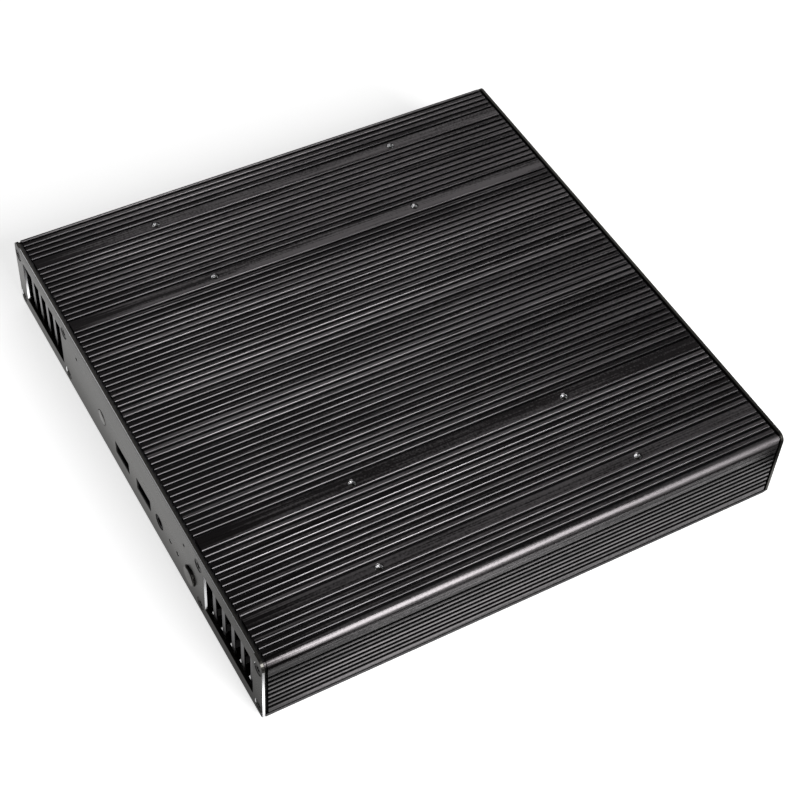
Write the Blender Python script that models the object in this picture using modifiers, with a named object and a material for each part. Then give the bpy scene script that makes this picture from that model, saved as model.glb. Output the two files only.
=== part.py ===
"""A low fanless mini PC case: a ribbed aluminium extrusion over a flat base plate.

The case stands on four rubber feet. X runs along the front, Y from front to rear and Z up.
The origin is on the ground, below the middle of the case and its push button.
"""

import math

import bmesh
import bpy
from mathutils import Matrix, Vector

MM = 0.001

# The whole case, without feet and button
CASE_WIDTH = 236.5 * MM
CASE_DEPTH = 230.0 * MM
CASE_HEIGHT = 36.0 * MM

# Clearances
SEAT_GAP = 0.25 * MM
SLIP = 0.3 * MM

# Feet
FOOT_PROUD = 2.0 * MM
FOOT_RADIUS = 7.0 * MM
FOOT_INSET_X = 20.0 * MM
FOOT_INSET_Y = 38.0 * MM

# Extruded shell
ROOF_THICKNESS = 3.5 * MM
WALL_THICKNESS = 6.0 * MM
ROLL_WIDTH = 2.6 * MM
ROLL_HEIGHT = 4.6 * MM
INNER_FILLET = 1.0 * MM
FOOT_CHAMFER = 0.5 * MM
RIB_PITCH = 2.91 * MM
GROOVE_WIDTH = 1.2 * MM
GROOVE_DEPTH = 1.2 * MM
RIB_CHAMFER = 0.25 * MM
SIDE_PITCH = 2.86 * MM
SIDE_GROOVE_DEPTH = 1.0 * MM
SIDE_BAND_LOW = 1.6 * MM
SIDE_BAND_HIGH = 3.2 * MM
NECK_LENGTH = 1.0 * MM
NECK_EXTRA = 0.1 * MM
NECK_CORNER = 0.5 * MM

# Threaded holes in the roof, on four wide lands
ROOF_HOLE_RADIUS = 1.5 * MM
ROOF_HOLE_SINK = 0.35 * MM
INNER_ROW_X = 61.0 * MM
OUTER_ROW_INSET = 18.35 * MM
ROW_MARGIN_Y = 7.6 * MM
ROW_STEP_Y = 9.4 * MM
ROW_LAND_HALF = 3.2 * MM

# Base plate
BASE_THICKNESS = 2.0 * MM
BASE_CORNER = 0.8 * MM
BASE_VENT_WIDTH = 4.1 * MM
BASE_VENT_SHARE = 0.095
BASE_VENT_MARGIN = 4.0 * MM
BASE_VENT_SETBACK = 3.0 * MM
BASE_VENT_OFFSET = -1.85 * MM
BASE_SCREW_SETBACK = 24.0 * MM
BASE_SCREW_INSET = 3.85 * MM

# End panels
PANEL_THICKNESS = 1.2 * MM
PANEL_TOP_RADIUS = 3.4 * MM
PANEL_BOTTOM_RADIUS = 1.5 * MM

# Screws: countersunk heads in the panels and the base
SCREW_HEAD_RADIUS = 2.65 * MM
SCREW_HEAD_GAP = 0.2 * MM
SCREW_SHANK_RADIUS = 1.25 * MM
SCREW_HEAD_HEIGHT = 1.5 * MM
SCREW_SUNK = 0.15 * MM
RECESS_REACH = 1.5 * MM
RECESS_HALF = 0.36 * MM
RECESS_DEPTH = 0.8 * MM
RECESS_TURN = math.radians(8)
PANEL_SCREW_LENGTH = 8.0 * MM
PORT_INSET = 3.3 * MM
PORT_HEIGHT_LOW = 4.7 * MM
PORT_DROP_HIGH = 6.4 * MM
PORT_SLIT = 1.2 * MM
GRILLE_SCREW_X = 64.95 * MM

# Front windows and the slotted grilles behind them
WINDOW_FROM_SCREW = 4.4 * MM
WINDOW_INSET = 7.9 * MM
WINDOW_LOW = 6.5 * MM
WINDOW_TOP_DROP = 7.0 * MM
WINDOW_CORNER = 0.6 * MM
GRILLE_THICKNESS = 0.6 * MM
GRILLE_SLOT_WIDTH = 5.35 * MM
GRILLE_BAR = 2.6 * MM
GRILLE_SLOT_MARGIN = 1.0 * MM
GRILLE_SLOT_OVERRUN_LOW = 1.4 * MM
GRILLE_SLOT_OVERRUN_HIGH = 0.5 * MM
GRILLE_SLOT_OFFSET = 2.725 * MM
GRILLE_RIM = 1.2 * MM
GRILLE_MARGIN = 2.5 * MM
GRILLE_CORNER = 1.2 * MM
NUT_RADIUS = 2.9 * MM
NUT_THICKNESS = 2.0 * MM

# Front connectors, all on one board
PORT_ROW_Z = 12.1 * MM
USB_LEFT_X = -7.7 * MM
USB_RIGHT_X = 13.1 * MM
USB_WIDTH = 12.9 * MM
USB_HEIGHT = 6.0 * MM
USB_DEPTH = 14.0 * MM
USB_WALL = 0.6 * MM
USB_TONGUE_WIDTH = 10.4 * MM
USB_TONGUE_THICKNESS = 1.4 * MM
USB_TONGUE_SETBACK = 2.0 * MM
JACK_X = 28.1 * MM
JACK_RADIUS = 3.2 * MM
JACK_BORE_RADIUS = 1.8 * MM
JACK_BODY_WIDTH = 8.0 * MM
JACK_BODY_DEPTH = 12.0 * MM
LIGHT_DRIVE_X = 38.4 * MM
LIGHT_POWER_X = 45.0 * MM
LIGHT_RADIUS = 0.8 * MM
LIGHT_LENGTH = 6.0 * MM
LIGHT_HOLDER_DEPTH = 5.0 * MM
LIGHT_HOLDER_WALL = 2.0 * MM
PIN_HOLE_X = 52.0 * MM
PIN_HOLE_Z = 26.5 * MM
PIN_HOLE_RADIUS = 0.8 * MM
FLUSH_RECESS = 0.2 * MM

# Infrared lens
LENS_X = -27.8 * MM
LENS_Z = 15.6 * MM
LENS_RADIUS = 3.4 * MM
LENS_FLANGE = 1.2 * MM
LENS_FLANGE_THICKNESS = 0.8 * MM
LENS_PROUD = 0.3 * MM

# Push button and its switch
BUTTON_X = 56.6 * MM
BUTTON_Z = 12.6 * MM
BUTTON_RADIUS = 4.3 * MM
BUTTON_PROUD = 1.0 * MM
BUTTON_EDGE = 0.25 * MM
BUTTON_FLANGE = 0.6 * MM
BUTTON_FLANGE_THICKNESS = 1.0 * MM
BUTTON_TRAVEL = 0.8 * MM
BUTTON_STEM_RADIUS = 1.7 * MM
BUTTON_STEM_LENGTH = 5.0 * MM
SWITCH_WIDTH = 9.0 * MM
SWITCH_DEPTH = 8.0 * MM
SWITCH_WALL = 1.4 * MM

# Board and bracket that carry the connectors
BOARD_THICKNESS = 1.6 * MM
BOARD_DEPTH = 22.0 * MM
BOARD_SETBACK = 4.0 * MM
BOARD_MARGIN_LEFT = 4.0 * MM
BOARD_MARGIN_RIGHT = 0.4 * MM
BOARD_SCREW_INSET = 3.5 * MM
BRACKET_THICKNESS = 1.0 * MM
BRACKET_FLANGE = 9.0 * MM

# Board standoffs on the base, on the 170 mm board pattern
STANDOFF_SPAN_X = 157.48 * MM
STANDOFF_SPAN_Y = 154.94 * MM
STANDOFF_SETBACK = 12.7 * MM
STANDOFF_RADIUS = 2.9 * MM
STANDOFF_HEIGHT = 5.0 * MM
STANDOFF_BORE = 1.3 * MM

# Drive plates below the roof
DRIVE_PLATE_THICKNESS = 1.2 * MM
DRIVE_PLATE_INNER_X = 42.0 * MM
DRIVE_PLATE_HALF_DEPTH = 65.0 * MM
DRIVE_PLATE_LIP = 4.0 * MM
DRIVE_HOLE_MARGIN = 3.64 * MM
DRIVE_HOLE_SPAN_Y = 76.6 * MM
DRIVE_HOLE_RADIUS = 1.7 * MM
PAN_HEAD_RADIUS = 2.7 * MM
PAN_HEAD_HEIGHT = 1.6 * MM
ROOF_SCREW_REACH = 1.5 * MM
HEAD_BITE = 0.2 * MM

# Cooling parts below the roof
BLOCK_WIDTH = 50.0 * MM
BLOCK_DEPTH = 48.0 * MM
BLOCK_HEIGHT = 13.0 * MM
BLOCK_TO_REAR_CLAMP = 49.0 * MM
BLOCK_CHAMFER = 1.0 * MM
PIPE_RADIUS = 3.0 * MM
PIPE_X = 12.0 * MM
PIPE_OVERHANG = 16.0 * MM
PIPE_TIP = 3.0 * MM
CLAMP_HEIGHT = 8.0 * MM
CLAMP_DEPTH = 12.0 * MM
CLAMP_FRONT_SETBACK = 53.0 * MM
CLAMP_REAR_SETBACK = 40.0 * MM
CLAMP_SCREW_X = 20.5 * MM

# Rear panel
IO_WIDTH = 158.75 * MM
IO_HEIGHT = 25.0 * MM
IO_LOW = 5.2 * MM
IO_CORNER = 0.8 * MM
REAR_SLOT_WIDTH = 3.0 * MM
REAR_SLOT_PITCH = 5.6 * MM
REAR_SLOT_MARGIN = 4.0 * MM

# Places that follow from the sizes
HALF_WIDTH = CASE_WIDTH / 2
FRONT_Y = (BUTTON_PROUD - CASE_DEPTH) / 2
REAR_Y = FRONT_Y + CASE_DEPTH
BOTTOM_Z = FOOT_PROUD
TOP_Z = BOTTOM_Z + CASE_HEIGHT
BASE_TOP_Z = BOTTOM_Z + BASE_THICKNESS
SHELL_LOW_Z = BASE_TOP_Z + SEAT_GAP
ROOF_Z = TOP_Z - ROOF_THICKNESS
WALL_X = HALF_WIDTH - WALL_THICKNESS
INNER_FRONT_Y = FRONT_Y + PANEL_THICKNESS + SEAT_GAP
INNER_REAR_Y = REAR_Y - PANEL_THICKNESS - SEAT_GAP
INNER_DEPTH = INNER_REAR_Y - INNER_FRONT_Y
MIDDLE_Y = (INNER_FRONT_Y + INNER_REAR_Y) / 2
BASE_VENT_LENGTH = BASE_VENT_SHARE * CASE_DEPTH
CLAMP_FRONT_Y = INNER_FRONT_Y + CLAMP_FRONT_SETBACK
CLAMP_REAR_Y = INNER_REAR_Y - CLAMP_REAR_SETBACK
BLOCK_Y = CLAMP_REAR_Y - BLOCK_TO_REAR_CLAMP
PORT_X = HALF_WIDTH - PORT_INSET
PORT_Z = (BOTTOM_Z + PORT_HEIGHT_LOW, TOP_Z - PORT_DROP_HIGH)
PORT_RADIUS = SCREW_SHANK_RADIUS + SLIP
WINDOW_INNER_X = GRILLE_SCREW_X + WINDOW_FROM_SCREW
WINDOW_WIDTH = HALF_WIDTH - WINDOW_INSET - WINDOW_INNER_X
WINDOW_X = WINDOW_INNER_X + WINDOW_WIDTH / 2
WINDOW_Z = (BOTTOM_Z + WINDOW_LOW, TOP_Z - WINDOW_TOP_DROP)
ROW_Z = BOTTOM_Z + PORT_ROW_Z
OUTER_ROW_X = HALF_WIDTH - OUTER_ROW_INSET
OUTER_ROW_Y = DRIVE_PLATE_HALF_DEPTH - ROW_MARGIN_Y
INNER_ROW_Y = OUTER_ROW_Y - ROW_STEP_Y
ROOF_HOLES = [
    (side * x, end * y)
    for side in (-1, 1)
    for x, y in ((INNER_ROW_X, INNER_ROW_Y), (OUTER_ROW_X, OUTER_ROW_Y))
    for end in (-1, 1)
]

FINE_STEPS = 32
ROUND_STEPS = 12
CORNER_STEPS = 5
ROLL_STEPS = 12
SMALL_CORNER_STEPS = 2
SMALL_CORNER = 1.3 * MM


# Scene and materials


def clear_scene():
    for old in list(bpy.data.objects):
        bpy.data.objects.remove(old, do_unlink=True)


def new_collection(name, hidden=False):
    collection = bpy.data.collections.new(name)
    bpy.context.scene.collection.children.link(collection)
    collection.hide_render = hidden
    return collection


def new_material(name, colour, metallic, roughness):
    material = bpy.data.materials.new(name)
    material.use_nodes = True
    shader = material.node_tree.nodes["Principled BSDF"]
    shader.inputs["Base Color"].default_value = (*colour, 1.0)
    shader.inputs["Metallic"].default_value = metallic
    shader.inputs["Roughness"].default_value = roughness
    return material


def anodised_black(name):
    return new_material(name, (0.018, 0.018, 0.020), 0.6, 0.38)


def black_steel(name):
    return new_material(name, (0.020, 0.020, 0.022), 0.7, 0.34)


def bare_steel(name):
    return new_material(name, (0.45, 0.45, 0.46), 1.0, 0.32)


def bare_aluminium(name):
    return new_material(name, (0.62, 0.63, 0.64), 1.0, 0.35)


def copper(name):
    return new_material(name, (0.72, 0.38, 0.24), 1.0, 0.3)


def black_plastic(name):
    return new_material(name, (0.012, 0.012, 0.013), 0.0, 0.45)


def smoked_plastic(name):
    return new_material(name, (0.05, 0.05, 0.055), 0.0, 0.12)


def clear_plastic(name):
    return new_material(name, (0.55, 0.57, 0.58), 0.0, 0.2)


def black_rubber(name):
    return new_material(name, (0.016, 0.016, 0.016), 0.0, 0.8)


def green_board(name):
    return new_material(name, (0.02, 0.09, 0.05), 0.0, 0.4)


# Outlines


def arc(centre, radius, start, end, steps):
    """Points of an arc between two angles in degrees, both ends included."""
    return [
        (
            centre[0] + radius * math.cos(math.radians(start + (end - start) * i / steps)),
            centre[1] + radius * math.sin(math.radians(start + (end - start) * i / steps)),
        )
        for i in range(steps + 1)
    ]


def circle(x, z, radius, steps=ROUND_STEPS):
    return arc((x, z), radius, 0, 360, steps)[:-1]


def rounded_box(low, high, radii):
    """A rectangle with its corner radii in the order low left, low right, high right, high left."""
    (x0, z0), (x1, z1) = low, high
    corners = ((x0, z0, 180, 1, 1), (x1, z0, 270, -1, 1), (x1, z1, 0, -1, -1), (x0, z1, 90, 1, -1))
    points = []
    for (x, z, start, right, up), radius in zip(corners, radii):
        middle = (x + right * radius, z + up * radius)
        steps = CORNER_STEPS if radius > SMALL_CORNER else SMALL_CORNER_STEPS
        points += arc(middle, radius, start, start + 90, steps)
    return points


def box_loop(centre, size, radius):
    low = (centre[0] - size[0] / 2, centre[1] - size[1] / 2)
    high = (centre[0] + size[0] / 2, centre[1] + size[1] / 2)
    return rounded_box(low, high, (radius,) * 4)


def spread(low, high, pitch):
    """Places at one pitch, centred between two limits, as many as fit."""
    span = high - low
    if span < 0:
        return []
    count = int(span / pitch) + 1
    start = (low + high - (count - 1) * pitch) / 2
    return [start + i * pitch for i in range(count)]


# Meshes and objects


def new_object(name, mesh, collection, material=None):
    obj = bpy.data.objects.new(name, mesh)
    collection.objects.link(obj)
    if material:
        mesh.materials.clear()
        mesh.materials.append(material)
    return obj


def flat_mesh(name, loops, thickness):
    """A plate from closed loops in its own XY plane; loops inside the first are holes."""
    curve = bpy.data.curves.new(name, "CURVE")
    curve.dimensions = "2D"
    curve.fill_mode = "BOTH"
    curve.extrude = thickness / 2
    for loop in loops:
        spline = curve.splines.new("POLY")
        spline.points.add(len(loop) - 1)
        for point, (u, v) in zip(spline.points, loop):
            point.co = (u, v, 0, 1)
        spline.use_cyclic_u = True
    guide = bpy.data.objects.new(name + "_outline", curve)
    bpy.context.scene.collection.objects.link(guide)
    graph = bpy.context.evaluated_depsgraph_get()
    mesh = bpy.data.meshes.new_from_object(guide.evaluated_get(graph))
    mesh.name = name
    bpy.data.objects.remove(guide, do_unlink=True)
    bpy.data.curves.remove(curve)
    shape = bmesh.new()
    shape.from_mesh(mesh)
    bmesh.ops.remove_doubles(shape, verts=shape.verts, dist=1e-6)
    shape.normal_update()
    if len(loops) == 1:
        bmesh.ops.dissolve_limit(shape, angle_limit=math.radians(1), verts=shape.verts, edges=shape.edges)
    bmesh.ops.recalc_face_normals(shape, faces=shape.faces)
    shape.to_mesh(mesh)
    shape.free()
    return mesh


def upright_plate(name, loops, y_low, y_high, collection, material=None):
    """A plate whose loops are given in X and Z, standing between two places along Y."""
    obj = new_object(name, flat_mesh(name, loops, y_high - y_low), collection, material)
    obj.rotation_euler = (math.pi / 2, 0, 0)
    obj.location = (0, (y_low + y_high) / 2, 0)
    return obj


def cut_plate(name, outline, holes, y_low, y_high, parts, cutters, material):
    """An upright plate with its holes cut right through it."""
    plate = upright_plate(name, [outline], y_low, y_high, parts, material)
    turn = Matrix.Rotation(math.pi / 2, 4, "X")
    place = Matrix.Translation((0, (y_low + y_high) / 2, 0)) @ turn
    tools = [moved(flat_mesh("hole", [loop], 3 * (y_high - y_low)), place) for loop in holes]
    boolean(plate, tools, cutters)
    return plate


def level_plate(name, loops, z_low, z_high, collection, material=None):
    """A plate whose loops are given in X and Y, lying between two heights."""
    obj = new_object(name, flat_mesh(name, loops, z_high - z_low), collection, material)
    obj.location = (0, 0, (z_low + z_high) / 2)
    return obj


def turned_mesh(name, profile, steps=ROUND_STEPS):
    """A solid turned about Z from a profile of (radius, height), top to bottom."""
    mesh = bpy.data.meshes.new(name)
    mesh.from_pydata([(r, 0, z) for r, z in profile], [(i, i + 1) for i in range(len(profile) - 1)], [])
    guide = bpy.data.objects.new(name + "_profile", mesh)
    bpy.context.scene.collection.objects.link(guide)
    turn = guide.modifiers.new("turn", "SCREW")
    turn.steps = steps
    turn.render_steps = steps
    turn.use_merge_vertices = True
    turn.merge_threshold = 1e-6
    graph = bpy.context.evaluated_depsgraph_get()
    solid = bpy.data.meshes.new_from_object(guide.evaluated_get(graph))
    bpy.data.objects.remove(guide, do_unlink=True)
    bpy.data.meshes.remove(mesh)
    solid.name = name
    return solid


def box_mesh(name, low, high):
    shape = bmesh.new()
    bmesh.ops.create_cube(shape, size=1)
    size = Vector(high) - Vector(low)
    middle = (Vector(high) + Vector(low)) / 2
    bmesh.ops.transform(shape, matrix=Matrix.Diagonal((*size, 1)), verts=shape.verts)
    bmesh.ops.translate(shape, vec=middle, verts=shape.verts)
    mesh = bpy.data.meshes.new(name)
    shape.to_mesh(mesh)
    shape.free()
    return mesh


def rod_mesh(name, start, end, radius, end_radius=None, steps=ROUND_STEPS):
    """A round rod, or a cone where the end radius differs, between two points."""
    start, end = Vector(start), Vector(end)
    shape = bmesh.new()
    bmesh.ops.create_cone(
        shape,
        cap_ends=True,
        segments=steps,
        radius1=radius,
        radius2=radius if end_radius is None else end_radius,
        depth=(end - start).length,
    )
    turn = (end - start).to_track_quat("Z", "Y").to_matrix().to_4x4()
    place = Matrix.Translation((start + end) / 2) @ turn
    bmesh.ops.transform(shape, matrix=place, verts=shape.verts)
    mesh = bpy.data.meshes.new(name)
    shape.to_mesh(mesh)
    shape.free()
    return mesh


def gathered(name, meshes):
    """One mesh that holds separate bodies."""
    shape = bmesh.new()
    for mesh in meshes:
        shape.from_mesh(mesh)
    result = bpy.data.meshes.new(name)
    shape.to_mesh(result)
    shape.free()
    return result


def moved(mesh, place):
    copy = mesh.copy()
    copy.transform(place)
    return copy


def boolean(obj, tool_meshes, cutters, operation="DIFFERENCE"):
    """Cuts the bodies from the object, or joins them to it. They are given in world space."""
    tool = new_object(obj.name + "_" + operation.lower(), gathered(obj.name + "_tool", tool_meshes), cutters)
    tool.hide_render = True
    tool.display_type = "WIRE"
    step = obj.modifiers.new(operation.lower(), "BOOLEAN")
    step.operation = operation
    step.object = tool
    step.solver = "EXACT"


def shade_round(obj):
    obj.data.shade_smooth()
    obj.data.set_sharp_from_angle(angle=math.radians(30))


# Screws


def facing(direction):
    """Turns a mesh made along +Z so that +Z points the given way."""
    return Vector(direction).to_track_quat("Z", "Y").to_matrix().to_4x4()


def countersunk_mesh(length):
    """A countersunk screw with the flat of its head at height 0, pointing down."""
    profile = [
        (0, 0),
        (SCREW_HEAD_RADIUS, 0),
        (SCREW_SHANK_RADIUS, -SCREW_HEAD_HEIGHT),
        (SCREW_SHANK_RADIUS, -length),
        (0, -length),
    ]
    return turned_mesh("countersunk", profile)


def pan_head_mesh(length):
    """A low-head screw with the underside of its head at height 0, pointing down."""
    profile = [
        (0, PAN_HEAD_HEIGHT),
        (PAN_HEAD_RADIUS * 0.8, PAN_HEAD_HEIGHT),
        (PAN_HEAD_RADIUS, PAN_HEAD_HEIGHT * 0.6),
        (PAN_HEAD_RADIUS, 0),
        (SCREW_SHANK_RADIUS, 0),
        (SCREW_SHANK_RADIUS, -length),
        (0, -length),
    ]
    return turned_mesh("pan_head", profile)


def with_recess(screw, head_top):
    """The screw with a cross recess in its head."""
    guide = bpy.data.objects.new("screw_guide", screw)
    far, near = RECESS_REACH, RECESS_HALF
    corners = ((far, near), (near, near), (near, far))
    cross = []
    for quarter in range(4):
        spin = Matrix.Rotation(quarter * math.pi / 2 + RECESS_TURN, 2)
        cross += [tuple(spin @ Vector(corner)) for corner in corners]
    recess = flat_mesh("recess", [cross], 2 * RECESS_DEPTH)
    recess.transform(Matrix.Translation((0, 0, head_top)))
    tool = bpy.data.objects.new("recess_guide", recess)
    for obj in (guide, tool):
        bpy.context.scene.collection.objects.link(obj)
    step = guide.modifiers.new("recess", "BOOLEAN")
    step.object = tool
    step.solver = "EXACT"
    graph = bpy.context.evaluated_depsgraph_get()
    result = bpy.data.meshes.new_from_object(guide.evaluated_get(graph))
    for obj in (guide, tool):
        bpy.data.objects.remove(obj, do_unlink=True)
    return result


def place_screws(name, screw, places, parts, material):
    """One object for each (point, outward direction), numbered in order."""
    for number, (point, direction) in enumerate(places, start=1):
        obj = new_object(f"{name}_{number}", screw.copy(), parts, material)
        obj.location = point
        obj.rotation_euler = facing(direction).to_euler()


def countersink_tools(places, through):
    """Cone and clearance hole for each countersunk screw, as deep as given."""
    tools = []
    slope = (SCREW_HEAD_RADIUS - SCREW_SHANK_RADIUS) / SCREW_HEAD_HEIGHT
    mouth = SCREW_HEAD_RADIUS + SCREW_HEAD_GAP + slope * SCREW_SUNK
    over = SCREW_HEAD_RADIUS
    for point, direction in places:
        out = Vector(direction)
        face = Vector(point) + out * SCREW_SUNK
        neck_depth = (mouth - PORT_RADIUS) / slope
        cone = rod_mesh(
            "cone",
            face - out * neck_depth,
            face + out * over,
            PORT_RADIUS,
            mouth + slope * over,
        )
        tools.append((cone, rod_mesh("clear", face - out * through, face + out * SLIP, PORT_RADIUS)))
    return tools


def countersink(obj, places, through, cutters):
    pairs = countersink_tools(places, through)
    boolean(obj, [pair[0] for pair in pairs], cutters)
    boolean(obj, [pair[1] for pair in pairs], cutters)


def front_screw_places():
    y = FRONT_Y + SCREW_SUNK
    xs = (-PORT_X, -GRILLE_SCREW_X, GRILLE_SCREW_X, PORT_X)
    return [((x, y, z), (0, -1, 0)) for x in xs for z in PORT_Z]


def rear_screw_places():
    y = REAR_Y - SCREW_SUNK
    return [((x, y, z), (0, 1, 0)) for x in (-PORT_X, PORT_X) for z in PORT_Z]


def base_screw_places():
    z = BOTTOM_Z + SCREW_SUNK
    ys = (INNER_FRONT_Y + BASE_SCREW_SETBACK, MIDDLE_Y, INNER_REAR_Y - BASE_SCREW_SETBACK)
    x = HALF_WIDTH - BASE_SCREW_INSET
    return [((side * x, y, z), (0, 0, -1)) for side in (-1, 1) for y in ys]


# Extruded shell


def grooved_edge(start, direction, inward, centres, depth):
    """Points of the grooves along an edge, each with chamfered lips."""
    half = GROOVE_WIDTH / 2
    steps = (
        (-half - RIB_CHAMFER, 0),
        (-half, RIB_CHAMFER),
        (-half, depth),
        (half, depth),
        (half, RIB_CHAMFER),
        (half + RIB_CHAMFER, 0),
    )
    points = []
    for centre in centres:
        for along, deep in steps:
            place = Vector(start) + Vector(direction) * (centre + along) + Vector(inward) * deep
            points.append((place.x, place.y))
    return points


def roof_groove_centres():
    """Grooves fill the roof apart from the wide lands that carry the threaded holes."""
    edge = HALF_WIDTH - ROLL_WIDTH - GROOVE_WIDTH / 2 - RIB_CHAMFER
    inner, outer, land = INNER_ROW_X, OUTER_ROW_X, ROW_LAND_HALF
    zones = (
        (-edge, -outer - land),
        (-outer + land, -inner - land),
        (-inner + land, inner - land),
        (inner + land, outer - land),
        (outer + land, edge),
    )
    return [x for low, high in zones for x in spread(low, high, RIB_PITCH)]


def screw_port(side, z):
    """A round screw port in the wall, open to the inside by a slit; listed from low to high."""
    half = PORT_SLIT / 2
    angle = math.degrees(math.asin(half / PORT_RADIUS))
    turn = arc((PORT_X, z), PORT_RADIUS, 180 + angle, 540 - angle, ROUND_STEPS)
    points = [(WALL_X, z - half)] + turn + [(WALL_X, z + half)]
    return [(side * x, height) for x, height in points]


def wall_inside(side):
    """The inside of one wall from its foot up to the roof."""
    points = [(side * WALL_X, SHELL_LOW_Z)]
    for z in PORT_Z:
        points += screw_port(side, z)
    corner = (WALL_X - INNER_FILLET, ROOF_Z - INNER_FILLET)
    points += [(side * x, z) for x, z in arc(corner, INNER_FILLET, 0, 90, CORNER_STEPS)]
    return points


def shoulder(side):
    """The rounded top corner, taller than it is wide, listed from the side up to the roof."""
    x, z = HALF_WIDTH - ROLL_WIDTH, TOP_Z - ROLL_HEIGHT
    turns = [math.pi / 2 * i / ROLL_STEPS for i in range(ROLL_STEPS + 1)]
    return [(side * (x + ROLL_WIDTH * math.cos(t)), z + ROLL_HEIGHT * math.sin(t)) for t in turns]


def shell_outline():
    """The section of the extrusion, from the left foot over the roof and back inside."""
    low = PORT_Z[0] + SIDE_BAND_LOW
    high = PORT_Z[1] - SIDE_BAND_HIGH
    heights = spread(low, high, SIDE_PITCH)
    left = grooved_edge((-HALF_WIDTH, 0), (0, 1), (1, 0), heights, SIDE_GROOVE_DEPTH)
    roof = grooved_edge((0, TOP_Z), (1, 0), (0, -1), roof_groove_centres(), GROOVE_DEPTH)
    points = [(-HALF_WIDTH + FOOT_CHAMFER, SHELL_LOW_Z), (-HALF_WIDTH, SHELL_LOW_Z + FOOT_CHAMFER)]
    points += left
    points += shoulder(-1)
    points += roof
    points += list(reversed(shoulder(1)))
    points += [(-x, z) for x, z in reversed(left)]
    points += [(HALF_WIDTH, SHELL_LOW_Z + FOOT_CHAMFER), (HALF_WIDTH - FOOT_CHAMFER, SHELL_LOW_Z)]
    points += wall_inside(1)
    points += list(reversed(wall_inside(-1)))
    return points


def neck_loops():
    """The ring that is turned off each end of the shell, just below the groove floors."""
    over = 5 * MM
    side_x = HALF_WIDTH - SIDE_GROOVE_DEPTH - NECK_EXTRA
    top_z = TOP_Z - GROOVE_DEPTH - NECK_EXTRA
    outer = [
        (-HALF_WIDTH - over, BOTTOM_Z - over),
        (HALF_WIDTH + over, BOTTOM_Z - over),
        (HALF_WIDTH + over, TOP_Z + over),
        (-HALF_WIDTH - over, TOP_Z + over),
    ]
    radii = (0.1 * MM, 0.1 * MM, NECK_CORNER, NECK_CORNER)
    inner = rounded_box((-side_x, BOTTOM_Z - over / 2), (side_x, top_z), radii)
    return [outer, inner]


def neck_tools():
    tools = []
    for y, way in ((INNER_FRONT_Y, 1), (INNER_REAR_Y, -1)):
        low, high = sorted((y - way * 3 * MM, y + way * NECK_LENGTH))
        ring = flat_mesh("neck", neck_loops(), high - low)
        turn = Matrix.Rotation(math.pi / 2, 4, "X")
        tools.append(moved(ring, Matrix.Translation((0, (low + high) / 2, 0)) @ turn))
    return tools


def roof_hole_tools():
    holes = []
    sinks = []
    for x, y in ROOF_HOLES:
        holes.append(rod_mesh("hole", (x, y, ROOF_Z - MM), (x, y, TOP_Z + MM), ROOF_HOLE_RADIUS))
        wide = ROOF_HOLE_RADIUS + ROOF_HOLE_SINK + MM
        sinks.append(
            rod_mesh("sink", (x, y, TOP_Z - ROOF_HOLE_SINK), (x, y, TOP_Z + MM), ROOF_HOLE_RADIUS, wide)
        )
    return holes, sinks


def base_thread_tools():
    """Blind holes up into the foot of each wall for the base screws."""
    high = BOTTOM_Z + PANEL_SCREW_LENGTH + 2 * SLIP
    return [
        rod_mesh("thread", (x, y, BOTTOM_Z), (x, y, high), PORT_RADIUS)
        for (x, y, _), _ in base_screw_places()
    ]


def clamp_screw_points():
    points = [(side * CLAMP_SCREW_X, y) for side in (-1, 1) for y in (CLAMP_FRONT_Y, CLAMP_REAR_Y)]
    reach = BLOCK_DEPTH / 2 - 5 * MM
    points += [(side * CLAMP_SCREW_X, BLOCK_Y + end * reach) for side in (-1, 1) for end in (-1, 1)]
    return points


def clamp_thread_tools():
    return [
        rod_mesh("thread", (x, y, ROOF_Z - MM), (x, y, ROOF_Z + ROOF_SCREW_REACH + SLIP), PORT_RADIUS)
        for x, y in clamp_screw_points()
    ]


def make_shell(parts, cutters):
    shell = upright_plate(
        "extruded_shell",
        [shell_outline()],
        INNER_FRONT_Y,
        INNER_REAR_Y,
        parts,
        anodised_black("shell_anodised"),
    )
    holes, sinks = roof_hole_tools()
    boolean(shell, neck_tools(), cutters)
    boolean(shell, holes + clamp_thread_tools(), cutters)
    boolean(shell, sinks, cutters)
    boolean(shell, base_thread_tools(), cutters)
    return shell


# Base plate


def base_outline():
    low = (-HALF_WIDTH, BOTTOM_Z)
    high = (HALF_WIDTH, BASE_TOP_Z)
    return rounded_box(low, high, (BASE_CORNER, BASE_CORNER, 0.1 * MM, 0.1 * MM))


def base_vent_boxes():
    """Air slots below the right front grille, and as many at the left, half way to the rear."""
    pitch = GRILLE_SLOT_WIDTH + GRILLE_BAR
    first = WINDOW_INNER_X + BASE_VENT_OFFSET
    count = int((WALL_X - BASE_VENT_MARGIN - BASE_VENT_WIDTH - first) / pitch) + 1
    front = FRONT_Y + BASE_VENT_SETBACK
    middle = MIDDLE_Y - BASE_VENT_LENGTH / 2
    boxes = []
    for i in range(count):
        low = first + i * pitch
        high = low + BASE_VENT_WIDTH
        boxes.append(((low, front), (high, front + BASE_VENT_LENGTH)))
        boxes.append(((-high, middle), (-low, middle + BASE_VENT_LENGTH)))
    return boxes


def standoff_points():
    rear = REAR_Y - STANDOFF_SETBACK
    return [
        (side * STANDOFF_SPAN_X / 2, y)
        for side in (-1, 1)
        for y in (rear, rear - STANDOFF_SPAN_Y)
    ]


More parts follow.
